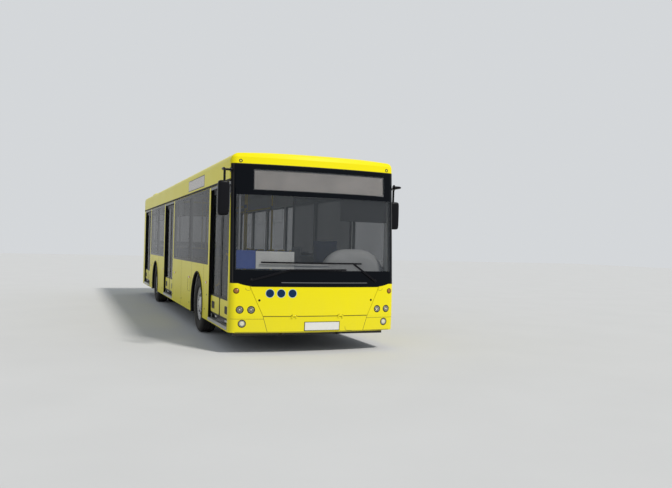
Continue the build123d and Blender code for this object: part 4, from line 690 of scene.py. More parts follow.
for kind, across, height, radius in FRONT_LAMPS:
    for side, sign in SIDES:
        centre = (sign * across, height)
        inner = radius - LENS_GAP
        bezels.append(round_on(on_front, centre, bezel(inner, BEZEL_W, BEZEL_PROUD), True))
        if kind == "turn":
            turns.append(round_on(on_front, centre, dome(radius - TURN_GAP, TURN_RISE, TURN_BACK)))
            continue
        bowl = [(inner * s, -BOWL_D * (1 - s ** 2)) for s in BOWL_SHARES]
        wall = inner + 2 * BOWL_T
        bowl += [(wall, -2 * BOWL_T), (wall, -BOWL_D - BOWL_T), (BOWL_MID, -BOWL_D - BOWL_T)]
        bowls.append(round_on(on_front, centre, bowl))
        lenses.append(round_on(on_front, centre, dome(inner, LENS_RISE)))
        bulbs.append(round_on(on_front, centre, dome(*(FOG_BULB if kind == "fog" else BULB))))
        if kind != "fog":
            beside = (centre[0] - sign * SIDE_BULB_IN, height + SIDE_BULB_UP)
            bulbs.append(round_on(on_front, beside, dome(*SIDE_BULB)))
fit("front_lamp_bowls", bowls, chrome, smooth=50, replaced=["front_lamps"])
fit("front_lamp_lenses", lenses, clear_lens, smooth=50)
fit("front_turn_lamps", turns, amber, smooth=50)
fit("front_lamp_bulbs", bulbs, bulb_glow, smooth=50)
fit("front_lamp_bezels", bezels, door_black, smooth=50)


# Lower front: a blank number plate on its black backing, two pressed grooves that run out at the
# corners, quarter-turn locks on the flap, the towing cover and three plain blue discs. The grooves and the
# towing cover's outline are black strips of painted shade.
PLATE_LOW, PLATE_HIGH, PLATE_T, BACKING_RIM, BACKING_T = (-0.187, 0.330), (0.333, 0.442), 0.005, 0.008, 0.003
# Discs: places, height, radius, radius of the face inside the pale rim, and their thin section
DISCS, DISC_Z, DISC_R, DISC_FACE, DISC_SIDES = (-0.700, -0.542, -0.380), 0.850, 0.062, 0.0558, 40
DISC_MID, DISC_TOP, DISC_RIM_TOP, DISC_FOOT = 0.004, 0.0010, 0.0012, -0.001
LOCK_AT, LOCK = (0.845, 0.752), (0.016, 0.004)
# Grooves on each half: distances from the middle, heights and number of steps
HALF_GROOVES = (((0.780, 0.4900), (1.225, 0.4935), 24), ((0.000, 0.5235), (0.305, 0.5275), 16),
                ((0.395, 0.5235), (0.785, 0.5275), 16))
GROOVE_T, SKIRT_GROOVE = 0.0008, ((-1.205, 0.3060), (1.205, 0.3120))
COVER_BOW_AT, COVER_BOW_R, COVER_BOW_STEPS = (1.000, 0.918), (0.040, 0.030), 14
COVER_BOW_WIRE, HOOK_WIRE = 0.0016, 0.0018
HOOK_LINE = ((0.430, 0.372), (0.432, 0.345), (0.442, 0.326), (0.462, 0.316), (0.540, 0.314))
FLAP_CORNER, SKIRT_CORNER, SEAM_HALF = (0.788, 0.527), (0.722, 0.308), 0.0025
MARKER_AT, MARKER, MARKER_RIM = (1.120, 2.690), (0.016, 0.007), (0.015, 0.010, 0.004)
GREY_BAR, GREY_BAR_T = ((-0.542, 0.996), (0.774, 1.006)), 0.0015
# The rubber round the windscreen: its upright strips on each half, and the one along its top
RUBBER_T, RUBBER_UP, RUBBER_TOP = 0.0010, ((1.206, 0.985), (1.216, 2.655)), ((-1.212, 2.645), (1.212, 2.655))


def sheet_on(surface, low, high, thick, steps_a=12, steps_b=1, back=-0.002):
    """A thin rectangle that follows a surface: its skin, its back and the walls between them."""
    verts, faces = [], []
    for out in (thick, back):
        for row in range(steps_b + 1):
            b = low[1] + (high[1] - low[1]) * row / steps_b
            for column in range(steps_a + 1):
                verts.append(surface(low[0] + (high[0] - low[0]) * column / steps_a, b, out))
    width = steps_a + 1
    layer = width * (steps_b + 1)
    for row in range(steps_b):
        for column in range(steps_a):
            i = row * width + column
            faces.append((i, i + 1, i + width + 1, i + width))
            faces.append((layer + i, layer + i + width, layer + i + width + 1, layer + i + 1))
    rim = list(range(width)) + [row * width + steps_a for row in range(1, steps_b + 1)]
    rim += [steps_b * width + column for column in reversed(range(steps_a))]
    rim += [row * width for row in reversed(range(1, steps_b))]
    faces += [(i, j, layer + j, layer + i) for i, j in zip(rim, rim[1:] + rim[:1])]
    return verts, faces


def half_sheet(sign, low, high, thick, *steps):
    """A sheet on the left (1) or right (-1) half of the front, between distances from its middle."""
    ends = sorted((sign * low[0], sign * high[0]))
    return sheet_on(on_front, (ends[0], low[1]), (ends[1], high[1]), thick, *steps)


plate_white = Finish("plate_white", (0.72, 0.72, 0.70), 0.35, Coat_Weight=0.3)
plate_white.tone(plate_white.noise(25.0, 5.0) * 0.5, (0.76, 0.76, 0.74), (0.55, 0.53, 0.48))
# Black strips: real panel joints, and painted shade in the pressed grooves, the louvre slots and the intake's
# opening.
joint_and_shade_black = Finish("joint_and_shade_black", (0.02, 0.02, 0.018), 0.7)
joint_and_shade_black.rough(joint_and_shade_black.noise(30.0), 0.6, 0.25)
disc_blue = Finish("disc_blue", (0.004, 0.020, 0.07), 0.3, Specular_IOR_Level=0.1)
disc_blue.tone(disc_blue.noise(60.0, 4.0) * 0.4, (0.004, 0.022, 0.070), (0.012, 0.035, 0.085))
rim_blue = Finish("disc_rim_blue", (0.30, 0.48, 0.62), 0.35)
rim_blue.rough(rim_blue.noise(50.0), 0.3, 0.15)
grey_trim = Finish("grey_trim", (0.13, 0.135, 0.14), 0.3, Metallic=0.3)
grey_trim.rough(grey_trim.noise(30.0, 4.0), 0.26, 0.16)
backing = sheet_on(on_front, (PLATE_LOW[0] - BACKING_RIM, PLATE_LOW[1] - BACKING_RIM),
                   (PLATE_HIGH[0] + BACKING_RIM, PLATE_HIGH[1] + BACKING_RIM), BACKING_T)
fit("front_plate_backing", [backing], door_black)
fit("front_plate", [sheet_on(on_front, PLATE_LOW, PLATE_HIGH, PLATE_T)], plate_white)
disc_rim = [(DISC_FACE, DISC_RIM_TOP), (DISC_R, DISC_RIM_TOP), (DISC_R, DISC_FOOT), (DISC_FACE, DISC_FOOT)]
disc_face = [(DISC_MID, DISC_TOP), (DISC_FACE, DISC_TOP), (DISC_FACE, DISC_FOOT), (DISC_MID, DISC_FOOT)]
disc_rims = [round_on(on_front, (place, DISC_Z), disc_rim, True, DISC_SIDES) for place in DISCS]
disc_faces = [round_on(on_front, (place, DISC_Z), disc_face, False, DISC_SIDES) for place in DISCS]
fit("front_disc_rims", disc_rims, rim_blue, "front_flap")
fit("front_discs", disc_faces, disc_blue, "front_flap")
# Painted shade: black strips along the pressed grooves and round the towing cover.
grooves = [tube([on_front(across, height) for across, height in HOOK_LINE], HOOK_WIRE, 6),
           sheet_on(on_front, *SKIRT_GROOVE, GROOVE_T, 60)]
locks, caps, cap_rims = [], [], []
screen_rubber = [sheet_on(on_front, *RUBBER_TOP, RUBBER_T, 60)]
for side, sign in SIDES:
    locks.append(round_on(on_front, (sign * LOCK_AT[0], LOCK_AT[1]), dome(*LOCK)))
    grooves += [half_sheet(sign, low, high, GROOVE_T, steps) for low, high, steps in HALF_GROOVES]
    bow = []
    for step in range(COVER_BOW_STEPS + 1):
        turn = math.pi * (1 + step / COVER_BOW_STEPS)
        bow.append(on_front(sign * (COVER_BOW_AT[0] + COVER_BOW_R[0] * math.cos(turn)),
                            COVER_BOW_AT[1] + COVER_BOW_R[1] * math.sin(turn)))
    grooves.append(tube(bow, COVER_BOW_WIRE, 6))

    def slanted(a, b, out, sign=sign):
        share = (b - SKIRT_CORNER[1]) / (FLAP_CORNER[1] - SKIRT_CORNER[1])
        return on_front(sign * (SKIRT_CORNER[0] + (FLAP_CORNER[0] - SKIRT_CORNER[0]) * share) + a, b, out)

    slant = sheet_on(slanted, (-SEAM_HALF, SKIRT_CORNER[1]), (SEAM_HALF, FLAP_CORNER[1]), GROOVE_T, 1, 8)
    fit(f"bumper_seam_{side}", [slant], joint_and_shade_black)
    marker = (sign * MARKER_AT[0], MARKER_AT[1])
    caps.append(round_on(on_front, marker, dome(*MARKER)))
    cap_rims.append(round_on(on_front, marker, bezel(*MARKER_RIM), True))
    screen_rubber.append(half_sheet(sign, *RUBBER_UP, RUBBER_T, 1, 30))
fit("flap_locks", locks, door_black, "front_flap", 40)
fit("front_groove_shades", grooves, joint_and_shade_black)
fit("front_grey_bar", [sheet_on(on_front, *GREY_BAR, GREY_BAR_T, 30)], grey_trim)
fit("front_marker_rims", cap_rims, door_black, smooth=50)
fit("front_marker_lamps", caps, clear_lens, smooth=50)
fit("screen_rubber", screen_rubber, rubber)


# Mirrors: black moulded shells with a main and a wide-angle glass, on bent steel arms that
# are bolted to the upper corners of the front.
MIRROR_X, MIRROR_HALF_W, MIRROR_DEPTH = 1.390, 0.080, 0.110
SHELL_SECTORS, SHELL_ROUND, SHELL_BACK_SHARE = 32, 0.55, 0.9
# Side, front, foot and top of each head, then its arm's height and the place where the arm drops
MIRRORS = ((-1, -6.010, 1.914, 2.385, 2.558, -5.955), (1, -5.560, 1.814, 2.240, 2.448, -5.505))
# A shell's rounding at its foot and its top: distance from that end, and share of the full section
SHELL_FOOT = ((0.0, 0.55), (0.006, 0.80), (0.022, 0.93), (0.060, 0.99))
SHELL_TOP = ((0.046, 0.985), (0.021, 0.93), (0.006, 0.80), (0.0, 0.55))
GLASS_X, GLASS_ROUND, GLASS_EDGE, GLASS_SPLIT, SPLIT_HALF = (1.328, 1.452), 0.022, 0.025, 0.26, 0.008
MIRROR_GLASS_T, ARM_X, ARM_Y, ARM_R, ARM_BEND, ARM_IN = 0.0035, (1.236, 1.380), -5.776, 0.016, 0.060, 0.015
FLANGE_X, FLANGE_R = (1.2495, 1.262), 0.034


def shell_rings(sign, front, foot, top):
    """A rounded shell built of rounded-square rings from its foot to its top."""
    middle = (foot + top) / 2
    levels = [(foot + rise, share) for rise, share in SHELL_FOOT] + [(middle, 1.0)]
    levels += [(top - drop, share) for drop, share in SHELL_TOP]
    rings = []
    for height, share in levels:
        ring = []
        for c, s in circle(SHELL_SECTORS):
            a = math.copysign(abs(c) ** SHELL_ROUND, c) * MIRROR_HALF_W * share
            b = math.copysign(abs(s) ** SHELL_ROUND, s) * MIRROR_DEPTH / 2
            b *= share if s < 0 else max(share, SHELL_BACK_SHARE)
            ring.append((sign * (MIRROR_X + a), front + MIRROR_DEPTH / 2 + b, height))
        rings.append(ring)
    return skin(rings)


mirror_shell = Finish("mirror_shell", (0.006, 0.006, 0.008), 0.30, Specular_IOR_Level=0.1)
mirror_shell.rough(mirror_shell.noise(18.0, 4.0), 0.24, 0.16)
mirror_shell.grain(600.0, 2.0, 0.08, 0.0004)
mirror_silver = Finish("mirror_silver", (0.75, 0.77, 0.79), 0.02, Metallic=1.0)
mirror_silver.rough(mirror_silver.noise(12.0, 4.0), 0.01, 0.04)
shells, glasses, arms = [], [], []
for sign, front, foot, top, arm_z, drop in MIRRORS:
    shells.append(shell_rings(sign, front, foot, top))

    def behind_mirror(a, b, depth, sign=sign, back=front + MIRROR_DEPTH - MIRROR_GLASS_T):
        return (sign * a, back + depth, b)

    split = foot + (top - foot) * GLASS_SPLIT
    for low, high in ((split + SPLIT_HALF, top - GLASS_EDGE), (foot + GLASS_EDGE, split - SPLIT_HALF)):
        loop = rounded_loop((GLASS_X[0], low), (GLASS_X[1], high), GLASS_ROUND)
        glasses.append(solid_plate(behind_mirror, loop, MIRROR_GLASS_T))
    line = [(sign * ARM_X[0], ARM_Y, arm_z), (sign * ARM_X[1], ARM_Y, arm_z),
            (sign * ARM_X[1], drop, arm_z), (sign * ARM_X[1], drop, top - ARM_IN)]
    arms.append(tube(bent(line, ARM_BEND, 8), ARM_R, 14))
    arms.append(tube([(sign * across, ARM_Y, arm_z) for across in FLANGE_X], FLANGE_R, 20))
fit("mirror_shells", shells, mirror_shell, smooth=50, replaced=["mirrors"])
fit("mirror_glasses", glasses, mirror_silver)
fit("mirror_arms", arms, mirror_shell, smooth=50)


# Wipers: black pressed-steel arms on domed spindle caps, with rubber blades that lie on the glass.
# The blades park side by side along the foot of the clear glass.
SPINDLES, SPINDLE_CAP = ((-0.960, 1.030), (0.910, 1.030)), (0.026, 0.012)
dress(mirror_shell, "wipers")
spindles = [round_on(on_front, spot, dome(*SPINDLE_CAP)) for spot in SPINDLES]
fit("wiper_spindles", spindles, mirror_shell, smooth=50)


# Signs: a long matrix panel behind the top of the windscreen and one beside it over the first
# window, both switched off, so only rows of dark amber dots show. Each is cased in black steel.
DOT_PITCH, DOT_SPREAD, DOT_SOFT, ON_SIDE_X = 0.0145, 0.085, 0.03, 1.200
FRONT_SIGN, SIGN_FACE, SIGN_BACK = ((-0.930, 2.298), (1.058, 2.570)), -0.016, -0.021
SIDE_SIGN, SIDE_SIGN_ROUND, SIDE_SIGN_T = ((-3.735, 2.482), (-2.150, 2.653)), 0.010, 0.0012
display = Finish("display_dots", (0.4, 0.4, 0.4), 0.4)
x, y, z = display.place()
# The rows run across the front, and along the bus where the sign is on its side
along_row = x + y * x.size().over(ON_SIDE_X)
off_column, off_row = ((place * (1 / DOT_PITCH)).fraction() - 0.5 for place in (along_row, z))
lit = (off_column * off_column + off_row * off_row).under(DOT_SPREAD, DOT_SOFT)
display.tone(lit, (0.46, 0.455, 0.45), (0.74, 0.60, 0.50))
display.rough(lit, 0.25, 0.3)
display.bump(lit, 0.3, 0.001)
front_sign = sheet_on(on_front, *FRONT_SIGN, SIGN_FACE, 24, 1, back=SIGN_BACK)
fit("destination_display", [front_sign], display)
dress(door_black, "destination_sign")
side_sign = solid_plate(right_side, rounded_loop(*SIDE_SIGN, SIDE_SIGN_ROUND), -SIDE_SIGN_T)
fit("side_display", [side_sign], display)


# Side trim: the black gutter moulding under the roof boards, rubber lips round the wheel arches,
# aluminium sill strips and door headers, amber side lamps, reflectors and small round locks.
GUTTER, GUTTER_T = ((-5.735, 2.404), (5.785, 2.438)), 0.006
SEAM_W, SEAM_Z, SEAM_T = 0.004, (0.303, 1.178), 0.0008
SIDE_LAMP_HALF, SIDE_LAMP_Z, SIDE_LAMP_T, SIDE_LAMP_ROUND = 0.045, (0.880, 0.915), 0.007, 0.012
LOCK_HALF, LOCK_ROUND, LOCK_T = 0.013, 0.0129, 0.003
LOCK_PLACES = ((-4.180, 0.700), (-4.020, 0.460), (-2.500, 0.440), (-1.560, 0.440), (-0.330, 0.440),
               (1.420, 0.440), (3.560, 0.440), (3.990, 0.440))
# The black bars of the tilting lights: one across, and one down each of its ends
VENT_LIGHT_HALF, BAR_W, BAR_Z, BAR_TOP, BAR_T = 0.410, 0.012, (2.040, 2.052), 2.356, 0.0015
# Each side's surface, and the places along it of its panel seams, side lamps and tilting lights
SIDE_TRIM = (
    (right_side, (-3.880, -2.680, -1.480, 2.260, 3.460),
     (-4.130, -2.450, -0.600, 1.350, 3.900), (-1.262, 1.930, 3.320)),
    (left_side, (-4.700, -3.880, -2.680, -1.480, -0.300, 0.450, 2.260, 3.460, 4.300, 5.440),
     (-5.400, -2.450, -0.600, 1.350, 3.900, 5.600), (-1.262, 0.450, 1.930, 3.320)),
)
# A doorway's strips stop short of its ends: on the sill's face, on the step, and under the header
STRIP_SHORT, SILL_Z, SILL_T, STEP_Z, STEP_D, STEP_T = 0.004, (0.318, 0.362), 0.006, 0.3602, 0.058, 0.004
HEADER_Z, HEADER_SET, HEADER_T = (2.360, 2.3995), 0.001, 0.030
# The section of an arch's lip: distance from the axle, and from the bus's middle
LIP_SECTION = ((0.541, 1.238), (0.541, 1.256), (0.545, 1.262),
               (0.559, 1.262), (0.563, 1.258), (0.563, 1.2495))
SKIRT_FOOT, LIP_STEPS = 0.302, 40


def on_step(a, b, depth):
    return (-SIDE_X + b, a, STEP_Z + depth)


def faceted(finish, scale, bright, dark):
    """The small moulded facets of a reflecting lens."""
    cells = finish.node("ShaderNodeTexVoronoi", {"feature": "F1"}, {"Scale": scale})
    finish.tone(cells, bright, dark)
    finish.bump(cells, 0.4, 0.001)


sill_alloy = Finish("sill_alloy", (0.50, 0.51, 0.52), 0.34, Metallic=0.8)
scrape = sill_alloy.noise(30.0, 5.0, (1, 0.08, 1))
sill_alloy.tone(scrape, (0.56, 0.57, 0.58), (0.30, 0.29, 0.27))
sill_alloy.rough(scrape, 0.25, 0.3)
reflector = Finish("orange_reflector", (0.80, 0.20, 0.01), 0.15, Coat_Weight=0.8)
faceted(reflector, 260.0, (0.85, 0.34, 0.03), (0.50, 0.16, 0.01))
lips = []
low_turn = math.asin((SKIRT_FOOT - HUB_Z) / LIP_SECTION[0][0])
for side, sign in SIDES:
    for axle in (FRONT_AXLE, REAR_AXLE):
        rings = []
        for step in range(LIP_STEPS + 1):
            turn = low_turn + (math.pi - 2 * low_turn) * step / LIP_STEPS
            rings.append([(sign * across, axle + radius * math.cos(turn), HUB_Z + radius * math.sin(turn))
                          for radius, across in LIP_SECTION])
        lips.append(skin(rings))
fit("arch_lips", lips, rubber, smooth=40)
gutters, seams, side_lamps, side_locks, bars, sills, headers = [], [], [], [], [], [], []
for surface, seam_places, lamp_places, vent_places in SIDE_TRIM:
    gutters.append(solid_plate(surface, box_loop(*GUTTER), -GUTTER_T))
    for place in seam_places:
        loop = box_loop((place - SEAM_W / 2, SEAM_Z[0]), (place + SEAM_W / 2, SEAM_Z[1]))
        seams.append(solid_plate(surface, loop, -SEAM_T))
    for place in lamp_places:
        low, high = (place - SIDE_LAMP_HALF, SIDE_LAMP_Z[0]), (place + SIDE_LAMP_HALF, SIDE_LAMP_Z[1])
        side_lamps.append(solid_plate(surface, rounded_loop(low, high, SIDE_LAMP_ROUND, 3), -SIDE_LAMP_T))
    for place, height in LOCK_PLACES:
        low, high = (place - LOCK_HALF, height - LOCK_HALF), (place + LOCK_HALF, height + LOCK_HALF)
        side_locks.append(solid_plate(surface, rounded_loop(low, high, LOCK_ROUND, 6), -LOCK_T))
    for place in vent_places:
        loop = box_loop((place - VENT_LIGHT_HALF, BAR_Z[0]), (place + VENT_LIGHT_HALF, BAR_Z[1]))
        bars.append(solid_plate(surface, loop, -BAR_T))
        for end in (place - VENT_LIGHT_HALF, place + VENT_LIGHT_HALF):
            loop = box_loop((end - BAR_W / 2, BAR_Z[1]), (end + BAR_W / 2, BAR_TOP))
            bars.append(solid_plate(surface, loop, -BAR_T))
for start in DOOR_STARTS.values():
    near, far = start + STRIP_SHORT, start + DOOR_W - STRIP_SHORT
    sills.append(solid_plate(right_side, box_loop((near, SILL_Z[0]), (far, SILL_Z[1])), -SILL_T))
    sills.append(solid_plate(on_step, box_loop((near, 0.0), (far, STEP_D)), STEP_T))
    loop = box_loop((near, HEADER_Z[0]), (far, HEADER_Z[1]))
    headers.append(solid_plate(raised(right_side, HEADER_SET), loop, HEADER_T))
fit("gutter_mouldings", gutters, rubber)
fit("skirt_seams", seams, joint_and_shade_black)
fit("side_lamps", side_lamps, reflector)
fit("skirt_locks", side_locks, door_black, smooth=40)
fit("door_sills", sills, sill_alloy)
fit("door_headers", headers, grey_trim)
fit("vent_dividers", bars, frit)


# Floor: plywood boards under a speckled grey non-slip vinyl, which also covers the wheel boxes,
# the engine tower and the driver's podium. It is worn dull and brown where people walk.
vinyl = Finish("speckled_vinyl", (0.13, 0.14, 0.15), 0.6, Specular_IOR_Level=0.3)
grit = vinyl.node("ShaderNodeTexCoord", output="Object")
specks = vinyl.node("ShaderNodeTexVoronoi", {"feature": "F1"}, {"Vector": grit, "Scale": 170.0})
trodden = vinyl.noise(2.5, 5.0)
speckled = vinyl.mix(specks.under(0.25, 0.1), (0.16, 0.17, 0.185), (0.36, 0.37, 0.38))
vinyl.tone(trodden * 0.4, speckled, (0.12, 0.10, 0.085))
vinyl.rough(trodden, 0.50, 0.25)
vinyl.bump(specks, 0.15, 0.0006)
dress(vinyl, "floor", "floor_boxes")


# Passenger seats: blue moulded shells on steel pedestals, with crowned foam pads in woven cloth
# set into the seat and the back, each sewn with two channels, and a yellow handle on the back.
SEAT_ROWS = ((-2.330, (-0.955, -0.505, 0.505, 0.955)), (-1.560, (-0.955, -0.505, 0.505, 0.955)),
             (-0.790, (-0.955, 0.505, 0.955)), (1.420, (-0.955, -0.505, 0.505, 0.955)),
             (3.830, (-0.955, 0.505, 0.955)))
SEAT_HALF_W, SEAT_HALF_D, SEAT_LOW, BACK_TOP, BACK_OFF, SHELL_T = 0.215, 0.210, 0.760, 1.400, 0.197, 0.016
SEAT_ROUND, BACK_ROUND = 0.060, 0.080
# Pads: half width, half depth or height, thickness, and where their middle is
CUSHION, CUSHION_OFF, BACK_PAD, BACK_PAD_Z = (0.192, 0.178, 0.044), -0.020, (0.192, 0.235, 0.030), 1.130
SEAT_FOOT, FOOT_HALF, FOOT_ROUND, FOOT_T, COLUMN_R, COLUMN_LOW = 0.360, 0.090, 0.020, 0.008, 0.030, 0.366
BRACE_LOW, BRACE_BEND_Z, BRACE_OUT, BRACE_R, BRACE_BEND = 0.620, 0.745, 0.150, 0.012, 0.030
# The handle's corners: toward the aisle, height, and off the shell's back
GRIP_LINE = ((0.06, 1.345, 0.0), (0.06, 1.415, 0.006), (0.19, 1.415, 0.006), (0.19, 1.345, 0.0))
GRIP_OFF, GRIP_R, GRIP_BEND = 0.222, 0.011, 0.030
# A pad is drawn in along its sides, stands highest in its middle and dips in its sewn channels
DRAWN_IN, CROWN_EDGE, CROWN_MID, CROWN_POWER = 0.03, 0.40, 0.60, 0.45
CHANNELS, CHANNEL_W, CHANNEL_D = (-0.36, 0.36), 0.06, 0.13


def level(height):
    """A level surface, its depth upward."""
    return lambda a, b, depth: (a, b, height + depth)


def upright(place, facing=1):
    """An upright surface across the bus, its depth toward the rear (1) or the front (-1)."""
    return lambda a, b, depth: (a, place + facing * depth, b)


def crowned(to_point, middle, half_a, half_b, thick, cells=14):
    """A foam pad: crowned on its face, drawn in at its sides, with two sewn channels across it."""

    def on_pad(u, v, out):
        rise = 0.0
        if out > 0:
            edge = (1 - u ** 4) * (1 - v ** 4)
            channel = sum(math.exp(-((v - place) / CHANNEL_W) ** 2) for place in CHANNELS)
            rise = thick * (CROWN_EDGE + CROWN_MID * edge ** CROWN_POWER - CHANNEL_D * channel * edge)
        a = middle[0] + half_a * u * (1 - DRAWN_IN * (1 - v * v))
        return to_point(a, middle[1] + half_b * v * (1 - DRAWN_IN * (1 - u * u)), rise)

    return sheet_on(on_pad, (-1, -1), (1, 1), 1, cells, cells, back=0)


seat_shell = Finish("seat_shell_blue", (0.02, 0.05, 0.20), 0.45, Specular_IOR_Level=0.35)
rubbed = seat_shell.noise(9.0, 5.0)
seat_shell.tone(rubbed * 0.5, (0.020, 0.050, 0.20), (0.07, 0.10, 0.24))
seat_shell.rough(rubbed, 0.36, 0.25)
seat_shell.grain(350.0, 2.0, 0.12, 0.0005)
seat_cloth = Finish("seat_cloth", (0.02, 0.05, 0.16), 0.9, Sheen_Weight=0.25, Specular_IOR_Level=0.15)
x, y, z = seat_cloth.place()
weave = (x * 2400.0).wave() * ((y + z) * 2400.0).wave()
pile = seat_cloth.noise(14.0, 5.0)
thread = seat_cloth.mix(weave * 0.5 + 0.5, (0.016, 0.040, 0.15), (0.035, 0.075, 0.24))
seat_cloth.tone(pile * 0.35, thread, (0.10, 0.11, 0.16))
seat_cloth.rough(pile, 0.80, 0.15)
seat_cloth.bump(weave, 0.35, 0.0004)
pads, shells, stands, handles = [], [], [], []
for seat_y, places in SEAT_ROWS:
    on_back = upright(seat_y + BACK_OFF, -1)
    for seat_x in places:
        near, far = seat_x - SEAT_HALF_W, seat_x + SEAT_HALF_W
        pads.append(crowned(level(SEAT_LOW + SHELL_T), (seat_x, seat_y + CUSHION_OFF), *CUSHION))
        pads.append(crowned(on_back, (seat_x, BACK_PAD_Z), *BACK_PAD))
        loop = rounded_loop((near, seat_y - SEAT_HALF_D), (far, seat_y + SEAT_HALF_D), SEAT_ROUND)
        shells.append(solid_plate(level(SEAT_LOW), loop, SHELL_T))
        loop = rounded_loop((near, SEAT_LOW), (far, BACK_TOP), BACK_ROUND)
        shells.append(solid_plate(on_back, loop, -SHELL_T))
        low, high = (seat_x - FOOT_HALF, seat_y - FOOT_HALF), (seat_x + FOOT_HALF, seat_y + FOOT_HALF)
        stands.append(solid_plate(level(SEAT_FOOT), rounded_loop(low, high, FOOT_ROUND), FOOT_T))
        stands.append(tube([(seat_x, seat_y, COLUMN_LOW), (seat_x, seat_y, SEAT_LOW)], COLUMN_R, 20))
        for out in (-BRACE_OUT, BRACE_OUT):
            brace = [(seat_x, seat_y, BRACE_LOW), (seat_x + out, seat_y, BRACE_BEND_Z),
                     (seat_x + out, seat_y, SEAT_LOW)]
            stands.append(tube(bent(brace, BRACE_BEND, 3), BRACE_R, 10))
        aisle = -1 if seat_x > 0 else 1
        grip = [(seat_x + aisle * a, seat_y + GRIP_OFF + off, b) for a, b, off in GRIP_LINE]
        handles.append(tube(bent(grip, GRIP_BEND, 4), GRIP_R, 10))
seat_pads = fit("seat_pads", pads, seat_cloth, smooth=60, replaced=["seats"])
fit("seat_shells", shells, seat_shell, smooth=40)
fit("seat_pedestals", stands, steel, smooth=50)
fit("seat_handles", handles, grab_yellow, smooth=60)


# Driver's place: a sprung seat with crowned cloth cushions on a rubber bellows, and a cab screen
# of grey laminate below and a dark framed pane above, with a low door beside the aisle.
DRIVER_X, DRIVER_Y, PODIUM_Z = 0.660, -4.680, 0.541
# Cushion and backrest: half width, half depth or height, and thickness; then the levels they lie on
DRIVER_CUSHION, DRIVER_BACK, DRIVER_BACK_Z = (0.212, 0.212, 0.084), (0.204, 0.315, 0.078), 1.300
CUSHION_Z, PAN_Z, PAN_T, BACKREST_Y, SHELL_Y, SHELL_BACK_T = 0.884, 0.872, 0.014, -4.418, -4.411, 0.012
BACK_SHELL, BACK_SHELL_ROUND = ((0.452, 0.975), (0.868, 1.618)), 0.10
PAN_SHELL, PAN_SHELL_ROUND = ((0.442, -4.898), (0.878, -4.462)), 0.05
FOLDS, FOLD_RISE, FOLD_HALVES, FOLD_ROUND, BELLOWS_Y = 13, 0.0275, (0.078, 0.098), 0.03, -4.670
# The screen behind the seat and the low door beside it, both of the same board
CAB_WALL_Y, CAB_SIDE_X, BOARD_T = -4.290, 0.130, 0.024
WALL_BOARD, WALL_ROUND = ((0.130, 0.541), (1.190, 1.360)), 0.02
DOOR_BOARD, DOOR_ROUND = ((-4.715, 0.541), (-4.292, 1.495)), 0.03
CAB_PANE, CAB_BORDER, CAB_EDGE_R, CAB_PANE_T = ((0.130, 1.364), (1.190, 2.330)), 0.035, 0.05, 0.012


def cab_side(a, b, depth):
    return (CAB_SIDE_X + depth, a, b)


cab_grey = Finish("cab_laminate", (0.22, 0.23, 0.25), 0.5, Specular_IOR_Level=0.3)
marks = cab_grey.noise(7.0, 6.0)
cab_grey.tone(marks * 0.5, (0.22, 0.23, 0.25), (0.15, 0.15, 0.155))
cab_grey.rough(marks, 0.42, 0.2)
cab_grey.grain(500.0, 2.0, 0.12, 0.0004)
driver_pads = [crowned(level(CUSHION_Z), (DRIVER_X, DRIVER_Y), *DRIVER_CUSHION),
               crowned(upright(BACKREST_Y, -1), (DRIVER_X, DRIVER_BACK_Z), *DRIVER_BACK)]
driver_seat = fit("driver_seat_pads", driver_pads, seat_cloth, smooth=60, replaced=["cab"])
driver_shell = [solid_plate(upright(SHELL_Y, -1), rounded_loop(*BACK_SHELL, BACK_SHELL_ROUND), SHELL_BACK_T),
                solid_plate(level(PAN_Z), rounded_loop(*PAN_SHELL, PAN_SHELL_ROUND), PAN_T)]
fit("driver_seat_shell", driver_shell, cab_grey, smooth=40)
folds = []
for step in range(FOLDS):
    half = FOLD_HALVES[step % 2]
    loop = rounded_loop((-half, -half), (half, half), FOLD_ROUND)
    folds.append([(DRIVER_X + a, BELLOWS_Y + b, PODIUM_Z + step * FOLD_RISE) for a, b in loop])
fit("driver_seat_bellows", [skin(folds)], rubber, smooth=25)
cab_wall = upright(CAB_WALL_Y)
boards = [solid_plate(cab_wall, rounded_loop(*WALL_BOARD, WALL_ROUND), BOARD_T),
          solid_plate(cab_side, rounded_loop(*DOOR_BOARD, DOOR_ROUND), BOARD_T)]
fit("cab_panels", boards, cab_grey)
pane_piece("cab_pane", "body", [(cab_wall, *CAB_PANE, CAB_BORDER, CAB_EDGE_R, CAB_PANE_T)], door_black, tint)


# Dashboard: light grey grained mouldings, a hooded instrument panel with five blank round dials,
# and rows of rocker switches. The steering wheel is a black grained rim on a steel column.
# The cowl is a shallow dome over the dials; the ledge runs on from it under the windscreen.
COWL_X, COWL_HALF, COWL_Y, COWL_Z, COWL_RISE = 0.680, 0.505, (-5.700, -5.420), 1.062, 0.430
COWL_SQUARE_A, COWL_SQUARE_B = 2.8, 2.4
LEDGE, LEDGE_FACE, LEDGE_BACK = ((-0.350, 1.010), (0.172, 1.268)), -0.020, -0.200
LEDGE_ROUND, LEDGE_LEAN = 0.080, 0.045
BULKHEAD, BULKHEAD_Y, BULKHEAD_ROUND, BULKHEAD_T = ((-1.060, 0.440), (0.168, 1.172)), -5.800, 0.03, 0.012
DIAL_PANEL, DIAL_PANEL_ROUND, DIAL_PANEL_T = ((0.400, 1.030), (0.930, 1.175)), 0.03, 0.006
DIAL_PANEL_Y, DIAL_Z = -5.2795, 1.100
